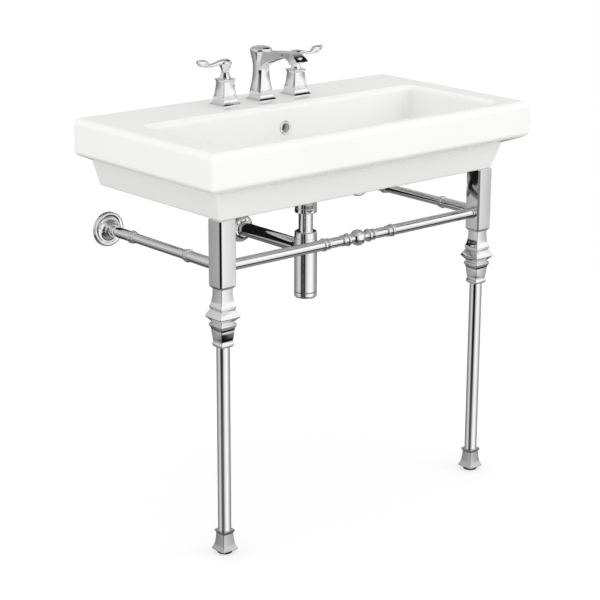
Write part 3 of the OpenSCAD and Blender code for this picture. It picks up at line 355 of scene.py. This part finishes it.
def carved(bm, *tools):
    """Cuts each tool out of a mesh, or joins it on where it comes after the word UNION."""
    body = as_object(bm, "carved")
    operation, spent = "DIFFERENCE", [body]
    for tool in tools:
        if isinstance(tool, str):
            operation = tool
            continue
        cutter = as_object(tool, "tool")
        cut = body.modifiers.new("cut", "BOOLEAN")
        cut.operation, cut.solver, cut.object = operation, "MANIFOLD", cutter
        spent.append(cutter)
    result = bmesh.new()
    shown = body.evaluated_get(bpy.context.evaluated_depsgraph_get())
    result.from_mesh(shown.to_mesh())
    shown.to_mesh_clear()
    for o in spent:
        mesh = o.data
        bpy.data.objects.remove(o)
        bpy.data.meshes.remove(mesh)
    return result


def piece(bm, name, material, body="basin_on_legs", nodes=None, sharp=32):
    """Turns a mesh in millimetres into a finished piece that stands for its CAD nodes."""
    bmesh.ops.scale(bm, vec=(0.001, 0.001, 0.001), verts=bm.verts)
    bmesh.ops.remove_doubles(bm, verts=bm.verts, dist=2e-6)
    bmesh.ops.recalc_face_normals(bm, faces=bm.faces)
    for face in bm.faces:
        face.smooth = True
    for edge in bm.edges:
        edge.smooth = edge.calc_face_angle(math.pi) < math.radians(sharp)
    made = as_object(bm, name)
    made.data.materials.append(material)
    even = made.modifiers.new("even normals", "WEIGHTED_NORMAL")
    even.keep_sharp = True
    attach(made, body)
    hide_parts(*([name] if nodes is None else nodes))
    return made


def quarter(count):
    """Angles from 0 to a right angle."""
    return [math.pi / 2 * i / count for i in range(count + 1)]


# Rows of the china from the foot of the apron up over the rim, then down into the bowl. A row
# is half the width, the front, the back, the radius of the upright corners, and the height.
half_w, depth, rim_z, lip, back_edge = 450, 480, 90, 14, 7
outer = []
foot_half, foot_front, foot_z, foot_round, apron_corner = 389, -425, -63, 5, 7
for a in reversed(quarter(4)):
    inset = foot_round * (1 - math.cos(a))
    outer.append((foot_half - inset, foot_front + inset, 0, apron_corner - inset,
                  foot_z + foot_round * (1 - math.sin(a))))
apron_half, apron_front, apron_z = 408, -438, -4.5
outer.append((apron_half, apron_front, 0, apron_corner, apron_z))
# The underside of the rim runs out from the apron until it touches the rim's round lower edge
under_r, under_z, rim_corner = 13, 22, 6
under_x, under_y = half_w - under_r, under_r - depth
out, down = apron_half - under_x, apron_z - under_z
touch = math.atan2(down, out) + math.acos(under_r / math.hypot(out, down))
for i in range(9):
    a = touch * (1 - i / 8)
    outer.append((under_x + under_r * math.cos(a), under_y - under_r * math.cos(a), 0, rim_corner,
                  under_z + under_r * math.sin(a)))
for a in quarter(10):
    inset, z = lip * (1 - math.cos(a)), rim_z - lip + lip * math.sin(a)
    rise = max(z - (rim_z - back_edge), 0)
    outer.append((half_w - inset, inset - depth, math.sqrt(back_edge ** 2 - rise ** 2) - back_edge,
                  rim_corner - 0.3 * inset, z))
bowl = []
wall_half, wall_front, wall_back, wall_corner = 380, -440, -160, 20
for a in reversed(quarter(10)):
    grow, z = lip * (1 - math.cos(a)), rim_z - lip + lip * math.sin(a)
    bowl.append((wall_half + grow, wall_front - grow, wall_back + grow, wall_corner + grow, z))
low_half, low_front, low_back, low_corner, cove_z, cove = 372, -422, -166, 24, -4, 30
for a in quarter(10):
    inset = cove * (1 - math.cos(a))
    bowl.append((low_half - inset, low_front + inset, low_back - inset, low_corner,
                 cove_z - cove * math.sin(a)))
drain_y, drain_half, drain_drop = -234, 33, 5.5
floor_edge = bowl[-1]
middle = (drain_half, drain_y - drain_half, drain_y + drain_half, drain_half)
for i in range(1, 7):
    t = i / 6
    bowl.append((*(edge + (end - edge) * t for edge, end in zip(floor_edge, middle)),
                 floor_edge[4] - drain_drop * t ** 1.5))
shell = tower([(half, (back - front) / 2, corner, z, 0, (front + back) / 2)
               for half, front, back, corner, z in outer + bowl], steps=8)

# Hollows and bores of the china. The overflow duct runs down a rib on the bowl's back wall,
# which sits in the hollow under the deck, and along another rib to the boss of the waste
tap_y, tap_x, leg_x, leg_y, bolt_x, duct_y = -79, 101.6, 369.4, -405, 140, -141
deck_hollow = slab(-375, 375, -148, -14, -70, 74, 6)
recess = slab(-344.9, 344.9, -403, -147, -70, -48, 8)
duct_rib = slab(-30, 30, -149, -126, -62.9, 61.5, 2)
waste_boss = moved(rod(35, -62.9, -47), 0, drain_y, 0)
boss_rib = slab(-14, 14, drain_y, -147.5, -62.8, -47, 2)
duct = slab(-22, 22, -148, -134, -59, 53.5, 1)
duct_foot = moved(rod(4.5, 0, 93), 0, duct_y, -54, (90, "X"))
overflow_z = 38
overflow_hole = moved(rod(11, 0, 60), 0, duct_y, overflow_z, (90, "X"))
waste_bore = moved(rod(22.5, -64, 10), 0, drain_y, 0)
flange_z = -43
flange_seat = moved(rod(32.5, flange_z, 10, 96), 0, drain_y, 0)
tap_holes = [moved(rod(17.5, 70, 95), x, tap_y, 0) for x in (-tap_x, 0, tap_x)]
wall_bolt_holes = [moved(rod(7, -1, 20), x, 1, 0, (90, "X")) for x in (-bolt_x, bolt_x)]
stud_holes = [moved(rod(5.1, -64, -46), x, leg_y, 0) for x in (-leg_x, leg_x)]
shell = carved(shell, deck_hollow, recess, "UNION", duct_rib, waste_boss, boss_rib,
               "DIFFERENCE", duct, duct_foot, overflow_hole, waste_bore, flange_seat,
               *tap_holes, *wall_bolt_holes, *stud_holes)
piece(shell, "basin", china)

# Overflow ring: a chromed brass ring pressed into the hole in the back wall of the bowl. Its
# polished face is the only metal inside the bowl besides the drain.
# Bright chrome over polished brass mirrors the room sharply; polishing leaves it a trace soft.
chrome, tree, place = new_material("polished chrome plate")
haze = noise(tree, place, 12, 2)
finish_shader(tree, noise(tree, place, 90, 3), 0.05, 0.0002, Metallic=1.0,
              Roughness=chosen(tree, haze, 0.03, 0.09),
              Base_Color=ramp(tree, haze, [(0.3, "#e3e3e4"), (0.7, "#e8e8e8")]))


def smooth_rows(rows, fine):
    """Rows of numbers on a smooth curve through the given rows, with fine steps between two."""
    rows = [Vector(r) for r in rows]
    far = [2 * rows[0] - rows[1]] + rows + [2 * rows[-1] - rows[-2]]
    made = [0.5 * (2 * b + (c - a) * t + (2 * a - 5 * b + 4 * c - d) * t ** 2
                   + (3 * b - a - 3 * c + d) * t ** 3)
            for a, b, c, d in zip(far, far[1:], far[2:], far[3:])
            for t in [i / fine for i in range(fine)]]
    return made + [rows[-1]]


def trace(outline, fine=6):
    """Points along an outline of (radius or half width, height). A third number makes a point
    a corner with that rounding; the points between two corners lie on one smooth curve."""
    corners = [0] + [i for i, p in enumerate(outline) if len(p) > 2 and 0 < i < len(outline) - 1]
    corners.append(len(outline) - 1)
    runs = []
    for start, end in zip(corners, corners[1:]):
        run = [Vector(p[:2]) for p in outline[start:end + 1]]
        runs.append(smooth_rows(run, fine) if len(run) > 2 else run)
    line = [runs[0][0]]
    for before, after, place in zip(runs, runs[1:], corners[1:]):
        tip, size = before[-1], outline[place][2]
        line += before[1:-1]
        if size:
            reach = min(size, 0.45 * (before[-2] - tip).length, 0.45 * (after[1] - tip).length)
            start = tip + (before[-2] - tip).normalized() * reach
            end = tip + (after[1] - tip).normalized() * reach
            line += [start * (1 - t) ** 2 + 2 * tip * t * (1 - t) + end * t ** 2
                     for t in (0, 0.25, 0.5, 0.75, 1)]
        else:
            line.append(tip)
    return [(x, z) for x, z in line + runs[-1][1:]]


def hoop(outline, steps=96):
    """A ring turned round Z from an outline that closes on its first point."""
    return turned(trace(outline + outline[:1])[:-1], steps, ring=True)


# The back wall of the bowl leans by 6 mm over its 80 mm, and the ring lies flat on it
lean = math.degrees(math.atan(6 / 80))
face = hoop([(10, 0, 0), (15.5, 0, 0.2), (15.5, 1.4, 0.4), (13.6, 2.8), (12.4, 3), (11, 2.4, 0.4),
             (10, 1.6, 0.2)])
piece(moved(face, 0, -162.95, overflow_z, (90, "X"), (-lean, "X")), "overflow_ring", chrome)


# Drain: a polished flange with a throat in the floor of the bowl, a push plug with a rubber
# seal, and the threaded body below it that the locknut pulls up against the boss.
flange = hoop([(17, -46, 0), (20, -46, 0), (20, 0, 0), (32, 0, 0.3), (32, 1.6), (31.2, 2.8), (29, 3.7),
               (26, 3.8, 0.4), (20, 3.2, 0.3), (17, 1.4, 0.4)])
piece(moved(flange, 0, drain_y, flange_z), "drain_flange", chrome)
plug_z = -29.7
plug = trace([(0, -46.3, 0), (4, -46.3, 0.5), (5, -45.3, 0.3), (5, -2, 0.2), (14, -2, 0.2), (14, 0, 0.2),
              (26, 0, 0.3), (26, 1.2, 0.5), (24.4, 2.8), (19, 4.1), (10, 4.8), (0, 5, 0)])
piece(moved(turned(plug, 96), 0, drain_y, plug_z), "drain_plug", chrome, body="plug")
tube = hoop([(20.1, -132, 0), (22, -132, 0.5), (22, -45, 0.5), (20.1, -45, 0)], 64)
piece(moved(tube, 0, drain_y, 0), "drain_body", chrome)

# Tailpiece and its nut: the slip nut under the drain holds the flanged top of a thin chromed
# tube that drops into the trap.
nut_z = -140
nut = hoop([(16.1, 0, 0), (23.6, 0, 0.5), (24.6, 1, 0.5), (24.6, 9.6, 0.5), (24.1, 10.4, 0.3),
            (24.1, 11.6, 0.3), (24.6, 12.4, 0.5), (24.6, 21, 0.5), (23.6, 22, 0.5), (22.1, 22, 0),
            (22.1, 6, 0), (16.1, 6, 0)])
piece(moved(nut, 0, drain_y, nut_z), "tailpiece_nut", chrome)
tube = hoop([(14.8, -290.5, 0), (16, -290.5, 0.4), (16, -134, 0), (20, -134, 0.4), (20, -132.2, 0.4),
             (14.8, -132.2, 0)], 64)
piece(moved(tube, 0, drain_y, 0), "tailpiece", chrome)

# Bottle trap: a chromed brass cylinder with an inlet nut on top, a cup that unscrews below
# and a boss at the back into which the waste pipe is brazed.
trap_top, outlet_z, cup_z = -198, -222, -335
nut = hoop([(16.1, 10.9, 0), (22.1, 10.9, 0), (22.1, 0, 0), (25, 0, 0.4), (25, 13.6, 0.8),
            (23.6, 15, 0.8), (16.1, 15, 0.3)])
piece(moved(nut, 0, drain_y, trap_top), "trap_inlet_nut", chrome)
wall = hoop([(23, -320.5, 0), (25.5, -320.5, 0.3), (25.5, trap_top, 0.4), (22, trap_top, 0),
             (22, -189, 0.3), (16.1, -189, 0), (16.1, -202, 0), (23, -202, 0)])
boss = trace([(0, 20, 0), (19.4, 20, 0), (19, 25.5), (18.3, 27.2), (18, 30.5, 0.4), (0, 30.5, 0)])
to_the_back = (-90, "X")
body = carved(wall, "UNION", moved(turned(boss), 0, 0, outlet_z, to_the_back),
              "DIFFERENCE", moved(rod(16.1, 25.5, 40), 0, 0, outlet_z, to_the_back),
              moved(rod(14.8, 5, 40), 0, 0, outlet_z, to_the_back), rod(22.9, -321, -203, 96))
piece(moved(body, 0, drain_y, 0), "trap_body", chrome)
cup = trace([(0, 0, 0), (19.6, 0), (23.4, 1.2), (25.1, 3.6), (25.5, 6.4, 0), (25.5, 13, 0.5),
             (22.9, 13, 0), (22.9, 22, 0.3), (20.9, 22, 0), (20.9, 4, 0), (0, 4, 0)])
piece(moved(turned(cup, 96), 0, drain_y, cup_z), "trap_cup", chrome)

# Waste pipe: a straight chromed tube from the trap into the wall, with a shallow depth mark
# at the wall, and the pressed domed flange that slides along it to cover the hole.
to_the_front = (90, "X")
pipe = hoop([(14.8, -40, 0), (16, -40, 0.5), (16, -1, 0), (15.7, -1, 0), (15.7, 0, 0), (16, 0, 0),
             (16, 208.5, 0), (14.8, 208.5, 0)], 64)
piece(moved(pipe, 0, 0, outlet_z, to_the_front), "waste_pipe", chrome)
dome = hoop([(31, 0, 0), (33, 0, 0.4), (33, 1.5), (32.4, 5.2), (31, 8.6), (28.8, 11.6), (26, 13.8),
             (22.6, 15.2, 0.4), (19, 16, 0.3), (19, 21, 0.6), (18, 22, 0.4), (16.1, 22, 0),
             (16.1, 13, 0), (20, 13, 0), (24.8, 11.4), (28, 8.4), (30.2, 4.8)])
piece(moved(dome, 0, 0, outlet_z, to_the_front), "waste_wall_flange", chrome)


# Handle bodies: square brass castings with a flared foot, a step, a waisted shaft, a plate
# and a tapered neck. Their sides swell a little between crisp arrises. They're polished and
# chromed and screwed down over each valve.
def square_rows(outline, neck=math.inf):
    """Rows of a square turning from an outline of half width and height. Its arrises are
    crisp, and above the neck's height it is nearly round."""
    return [(half, half, 0.8 * half if z > neck else 0.8, z, 0, 0) for half, z in trace(outline, 5)]


def crowned(bm, swell, start=-math.inf):
    """Swells the sides of a square turning outwards between its arrises. The swell grows over
    6 mm above the height where it starts."""
    spans = [(e, e.verts[0].co - e.verts[1].co) for e in bm.edges]
    sides = [e for e, span in spans if span.length > 4 and sorted(map(abs, span))[1] < 1e-4]
    bmesh.ops.subdivide_edges(bm, edges=sides, cuts=7, use_grid_fill=True)
    for v in bm.verts:
        far, near = (0, 1) if abs(v.co.x) >= abs(v.co.y) else (1, 0)
        if v.co[far]:
            grown = min(max((v.co.z - start) / 6, 0), 1)
            v.co[far] *= 1 + swell * grown * (1 - (v.co[near] / v.co[far]) ** 2)
    return bm


plate_top, step_z = 57.5, 16
handle = [(25.5, 0, 0), (25.5, 1.6, 0.5), (23.2, 3.8), (20.4, 8), (18.7, 13, 0.3), (19.7, 14, 0.4),
          (19.7, 18, 0.4), (18.3, 19.6, 0.3), (17, 26.5), (15.7, 35.5), (14.9, 44.5), (14.5, 52, 0.3),
          (16.3, 54.4, 0.5), (16.3, plate_top, 0.6), (11.5, plate_top + 0.1, 0.3), (9.6, 63),
          (8.2, 68), (7.3, 71.5, 0)]
for name, x in (("hot", -tap_x), ("cold", tap_x)):
    shaft = crowned(tower(square_rows(handle, neck=plate_top + 0.05), steps=4), 0.17, step_z)
    room = turned([(0, -1), (15.1, -1), (15.1, 18.5), (11.6, 18.5), (11.6, 33.5), (4.9, 33.5),
                   (4.9, 73), (0, 73)])
    piece(moved(carved(shaft, room), x, tap_y, rim_z), name + "_handle_body", chrome, sharp=20)


# Levers: one casting each, a square bell that turns on the stem and an arm that dips and rises
# into a full leaf-shaped scroll, pointing outwards. Each turns a quarter to the front.
def arm(stations, corner, steps):
    """A bar along X. A station is the X and Z of its upper point, those of its lower point,
    and half the width."""
    rows = []
    for upper_x, upper_z, lower_x, lower_z, half in smooth_rows(stations, 4):
        top, low = Vector((upper_x, 0, upper_z)), Vector((lower_x, 0, lower_z))
        tall = (top - low).length / 2
        rows.append(((top + low) / 2, Vector((0, 1, 0)), (top - low).normalized(), half, tall,
                     min(corner, 0.8 * half, 0.8 * tall)))
    return loft(rows, steps)


lever_z = 162
bell = [(7.3, 0, 0), (8, 3), (9.1, 8), (10.7, 12), (12.5, 16), (13.5, 19), (13.3, 22, 0.5),
        (11.1, 25.5), (7.3, 28, 0)]
leaf = [(-4, 27, -4, 19, 8.6), (3, 28, 3, 18.4, 8.8), (11, 27.6, 11, 17.4, 7.6), (20, 25.7, 20, 17, 6),
        (30, 23.2, 30, 15.8, 5), (38, 21.9, 38, 15, 4.8), (43.5, 22, 44.5, 14.8, 4.9),
        (47.5, 24.8, 50, 14.9, 5.6), (51, 28.8, 56, 15.4, 6.6), (55.5, 31.4, 62, 17, 7.4),
        (61, 32, 67, 19.2, 7.6), (67, 32.4, 71.5, 22, 6.9), (73, 32.3, 75.3, 25.6, 5),
        (77.8, 31.6, 77.8, 29.8, 2)]
for name, x, turn in (("hot", -tap_x, 180), ("cold", tap_x, 0)):
    hub = tower([(half, half, 0.75 * half, z, 0, 0) for half, z in trace(bell)], steps=4)
    lever = carved(hub, "UNION", arm(leaf, 4, 4), "DIFFERENCE", rod(4.65, -1, 16))
    piece(moved(lever, x, tap_y, lever_z, (turn, "Z")), name + "_lever", chrome,
          body=name + "_handle", sharp=24)

# Spout: a square column with a flared foot and swelling sides, and a flat arm that leaves it
# near the crown, thins out and turns down into a flared outlet with an aerator.
reach, outlet_rise = 128, 98
column = [(25.5, 0, 0), (25.5, 1.6, 0.5), (22.9, 3.8), (20.1, 8), (18.7, 12, 0.3), (19.5, 13.4, 0.4),
          (19.5, 17.5, 0.4), (18.3, 19, 0.3), (16.5, 32), (14.5, 50), (13.7, 68), (14.5, 84), (16.7, 98),
          (18.8, 109.6, 0.6), (17.9, 114.6), (13.5, 118.2), (6.5, 120, 0)]
blade = [(2, 118.7, 2, 72, 14.4), (13, 115.6, 13, 75.4, 13.6), (20, 112.4, 20, 79.5, 13.1),
         (30, 111.4, 30, 85.2, 12.8), (44, 112.9, 44, 90.8, 12.6), (56, 114.5, 57, 95.2, 12.4),
         (68, 115.9, 69, 99.8, 12.4), (82, 117.1, 81, 103.7, 12.4), (96, 117.9, 92, 104.6, 12.5),
         (110, 117.9, 101.5, 102.9, 13.4), (122, 114.8, 108, 99.6, 14.6), (132.5, 108.9, 113.8, 96, 16.2),
         (141, 101.2, 118, 93.5, 17.9)]
# The column's arrises are crisp at its foot and grow softer towards the crown
shaft = crowned(tower([(half, half, 1.2 + 0.045 * max(z - 20, 0), z, 0, 0)
                       for half, z in trace(column, 5)], steps=1), 0.22, step_z)
waterway = moved(rod(2.8, 0, 121), 0, 0, 103.5, (86, "X"))
spout = carved(shaft, "UNION", moved(arm(blade, 1.2, 2), 0, 0, 0, (-90, "Z")), "DIFFERENCE",
               turned([(0, -1), (15.1, -1), (15.1, 10.5), (7, 10.5), (7, 112), (0, 112)]),
               moved(rod(9, 80, 110), 0, -reach, 0), waterway)
piece(moved(spout, 0, tap_y, rim_z), "spout", chrome, sharp=20)
insert = hoop([(6, 0, 0), (7.6, 0, 0.4), (8.9, 0.6, 0.3), (8.9, 11.7, 0), (6, 11.7, 0)], 48)
piece(moved(insert, 0, tap_y - reach, rim_z + outlet_rise), "spout_aerator", chrome)


# Legs: from the top a square tube, a square turned casting and a round tube that a tie rod
# pulls together, then a bell-shaped square foot. All are chromed brass with crisp arrises, but
# the feet are only lightly polished, so they blur the room into an even grey.
satin, tree, place = new_material("satin chrome plate")
haze = noise(tree, place, 25, 2)
finish_shader(tree, noise(tree, place, 300, 3), 0.08, 0.0002, Metallic=1.0,
              Roughness=chosen(tree, haze, 0.2, 0.28),
              Base_Color=ramp(tree, haze, [(0.3, "#bababa"), (0.7, "#c2c2c2")]))
post_z, baluster_z, tube_foot_z, foot_bottom, rail_z = -208, -332, -739, -782.5, -164
rod_hole, post_half, arris = 4.1, 21, 3.3
turning = [(14.3, 0, 0), (16.4, 3.4, 0.6), (16.4, 6.5, 0.6), (15.6, 8, 0.3), (14.8, 11), (15.8, 20),
           (16.9, 30), (17.9, 39), (20.8, 45.5, 0.7), (20.8, 49.5, 0.6), (18, 51, 0.3), (18, 54.5, 0.3),
           (21, 58), (25.4, 63), (26.2, 64.5, 0.4), (25.8, 66), (23, 72), (19.2, 78.5, 0.3),
           (18.4, 79.5, 0.2), (18.4, 80.5, 0.2), (20, 81.5, 0.5), (20, 86.5, 0.5), (19.1, 88.5, 0.3),
           (17, 95.5), (15.3, 108), (15, 117), (15, 124, 0)]
bell_foot = [(19.6, 0, 0), (20, 0.6, 0.2), (20, 1.6, 0.4), (18.4, 4.6), (17.8, 6.2, 0.3), (16.6, 9),
             (15.1, 15), (14, 24), (13.2, 35), (13.3, 38, 0.3), (15.4, 40.4, 0.5), (15.6, 43.5, 0)]
for side, x in (("left", -leg_x), ("right", leg_x)):
    inward = 90 if side == "left" else -90
    post = tower([(half, half, edge, z, 0, 0) for half, edge, z in (
        (16.2, 2.5, 0), (16.6, 2.6, 0.4), (20.4, 3.2, 4.8), (20.8, arris, 5.6),
        (post_half, arris, 6.6), (post_half, arris, 144), (18.5, 1.4, 144), (18.5, 1.4, 8))], steps=1)
    bolt_holes = [moved(rod(3.1, 10, 30), 0, 0, rail_z - post_z, turn)
                  for turn in ((inward, "Y"), to_the_back)]
    post = carved(crowned(post, 0.03, 6), rod(rod_hole, -1, 9), *bolt_holes)
    piece(moved(post, x, leg_y, post_z), side + "_post", chrome)
    vase = carved(crowned(tower(square_rows(turning), steps=1), 0.06), rod(rod_hole, -1, 125))
    piece(moved(vase, x, leg_y, baluster_z), side + "_baluster", chrome, sharp=24)
    tube = turned([(12.5, tube_foot_z), (14, tube_foot_z), (14, baluster_z), (12.5, baluster_z)],
                  96, ring=True)
    piece(moved(tube, x, leg_y, 0), side + "_leg_tube", chrome)
    bore = turned([(0, -1), (5.05, -1), (5.05, 28), (rod_hole, 30), (rod_hole, 44), (0, 44)])
    foot = carved(crowned(tower(square_rows(bell_foot), steps=1), 0.06), bore)
    piece(moved(foot, x, leg_y, foot_bottom), side + "_foot", satin, sharp=24)


# Rails: turned bars with rings, screwed into the posts. The side rails end in a spigot on the
# wall behind a stepped flange; the front rail is two halves with a ball between them.
def bead(radius, low, high):
    """A half-round ring on a rail."""
    half = (high - low) / 2
    around = [math.pi * i / 12 for i in range(13)]
    arc = [(radius - half * (1 - math.sin(a)), low + half * (1 - math.cos(a))) for a in around]
    return [(*arc[0], 0)] + arc[1:-1] + [(*arc[-1], 0)]


bar_r = 11.75


def bolted_end(end):
    """The end of a rail at a post: a bead, and a bore for the bolt from inside the post."""
    return [(bar_r, end - 8, 0), *bead(13.5, end - 6, end - 1), (bar_r, end, 0), (3.1, end, 0),
            (3.1, end - 14, 0), (0, end - 14, 0)]


side_bar = [(0, 36, 0), (8, 36, 0), (8, 6, 0), (bar_r, 6, 0), *bead(14.25, 91, 97), (10.75, 98, 0),
            *bead(12.75, 99, 104), *bead(12.75, 283, 288), (10.75, 289, 0), *bead(14.25, 290, 296),
            *bolted_end(-leg_y - post_half)]
plate = [(27.5, 0, 0), (38, 0, 0.3), (38, 5), (37.2, 6.9), (34.6, 8), (31, 7.6), (28, 6.6, 0.3),
         (23.4, 7.3), (19.4, 9.4), (16.7, 12, 0.4), (16.7, 15, 0.5), (14.9, 16.3, 0.3), (14.9, 18, 0.3),
         (15.9, 18.9, 0.4), (15.9, 22, 0.5), (14.1, 23.9, 0.4), (13.5, 30, 0.4), (bar_r + 0.1, 30, 0),
         (bar_r + 0.1, 5.5, 0), (27.5, 5.5, 0)]
front_bar = [(0, 29, 0), (4.1, 29, 0), (4.1, 15, 0), (9, 15, 0.2), (9, 24.5, 0.3), *bead(14.25, 26, 34),
             (10, 37, 0.5), *bead(12.45, 40, 47), (10.5, 50, 0.4), (11, 64), (10.5, 79, 0.4),
             *bead(12.45, 82, 89), (10, 91.5, 0.5), *bead(14.25, 94, 102), (bar_r, 104, 0.3),
             *bolted_end(leg_x - post_half)]
for side, x, turn in (("left", -leg_x, -90), ("right", leg_x, 90)):
    bar = turned(trace(side_bar, 1))
    piece(moved(bar, x, 0, rail_z, to_the_front), side + "_side_rail", chrome)
    piece(moved(hoop(plate), x, 0, rail_z, to_the_front), side + "_rail_flange", chrome)
    bar = turned(trace(front_bar, 1))
    piece(moved(bar, 0, leg_y, rail_z, (turn, "Y")), "front_rail_" + side, chrome)
ball_r, half_gap = 17.5, 15
flat = math.asin(half_gap / ball_r)
angles = [flat * i / 20 for i in range(-20, 21)]
arc = [(ball_r * math.cos(a), ball_r * math.sin(a)) for a in angles]
ball = turned([(4.1, -half_gap)] + arc + [(4.1, half_gap)], 96, ring=True)
piece(moved(ball, 0, leg_y, rail_z, (90, "Y")), "front_rail_ball", chrome)

# Levelling feet: a black rubber pad moulded on a threaded steel stud that screws up into the
# foot. Rubber is matt, with a faint grain; zinc plate is a soft bluish grey.
rubber, tree, place = new_material("moulded black rubber")
grain = noise(tree, place, 900, 3)
finish_shader(tree, grain, 0.3, 0.0001, IOR=1.52, Roughness=chosen(tree, grain, 0.55, 0.8),
              Base_Color=ramp(tree, grain, [(0.3, "#171718"), (0.7, "#232324")]))
zinc, tree, place = new_material("zinc-plated steel")
grain = noise(tree, place, 400, 4)
finish_shader(tree, grain, 0.1, 0.0001, Metallic=1.0, Roughness=chosen(tree, grain, 0.3, 0.5),
              Base_Color=ramp(tree, grain, [(0.3, "#a9adb1"), (0.7, "#bfc3c6")]))
ground_z = -790
pad = [(0, 0, 0), (15, 0, 0.4), (16, 1, 0.4), (16, 5.4, 0.6), (14.4, 7, 0.6), (0, 7, 0)]
stud = [(0, 6.9), (5, 6.9), (5, 32), (4, 33), (0, 33)]
for side, x in (("left", -leg_x), ("right", leg_x)):
    body = side + "_levelling_foot"
    piece(moved(turned(trace(pad), 96), x, leg_y, ground_z), side + "_leveller", rubber, body)
    piece(moved(turned(stud, 32), x, leg_y, ground_z), side + "_leveller_stud", zinc, body,
          [])

# Hidden fittings, kept as they were built: brass nuts, valves and stems show turning marks,
# copper link tubes are drawn smooth, washers and seals are rubber, and the pads on the posts
# are white vinyl.
brass, tree, place = new_material("machined brass")
squeeze = add(tree, "ShaderNodeMapping", {"Vector": place, "Scale": (60, 60, 2400)}).outputs[0]
marks = noise(tree, squeeze, 1, 3)
finish_shader(tree, marks, 0.15, 0.0001, Metallic=1.0, Roughness=chosen(tree, marks, 0.22, 0.38),
              Base_Color=ramp(tree, marks, [(0.3, "#b3924f"), (0.7, "#c8a862")]))
copper, tree, place = new_material("drawn copper tube")
bloom = noise(tree, place, 70, 4)
finish_shader(tree, bloom, 0.1, 0.0001, Metallic=1.0, Roughness=chosen(tree, bloom, 0.2, 0.4),
              Base_Color=ramp(tree, bloom, [(0.3, "#b06a45"), (0.7, "#c88258")]))
vinyl, tree, place = new_material("soft white vinyl")
grain = noise(tree, place, 600, 2)
finish_shader(tree, grain, 0.2, 0.0001, IOR=1.53, Roughness=chosen(tree, grain, 0.45, 0.6),
              Base_Color=ramp(tree, grain, [(0.3, "#e4e4e1"), (0.7, "#ececea")]))
finishes = {"vitreous_china": china, "polished_chrome": chrome, "black_rubber": rubber,
            "zinc_plated_steel": zinc, "bare_brass": brass, "copper_tube": copper,
            "white_vinyl": vinyl}
for part in frame["record"]["subparts"]:
    kept = frame["nodes"][part["node"]]
    kept.data.materials.clear()
    kept.data.materials.append(finishes[part["material_slot"]])
    kept.data.shade_smooth()
    weld = kept.modifiers.new("weld", "WELD")
    weld.merge_threshold = 2e-6
    split = kept.modifiers.new("crisp edges", "EDGE_SPLIT")
    split.split_angle = math.radians(32)
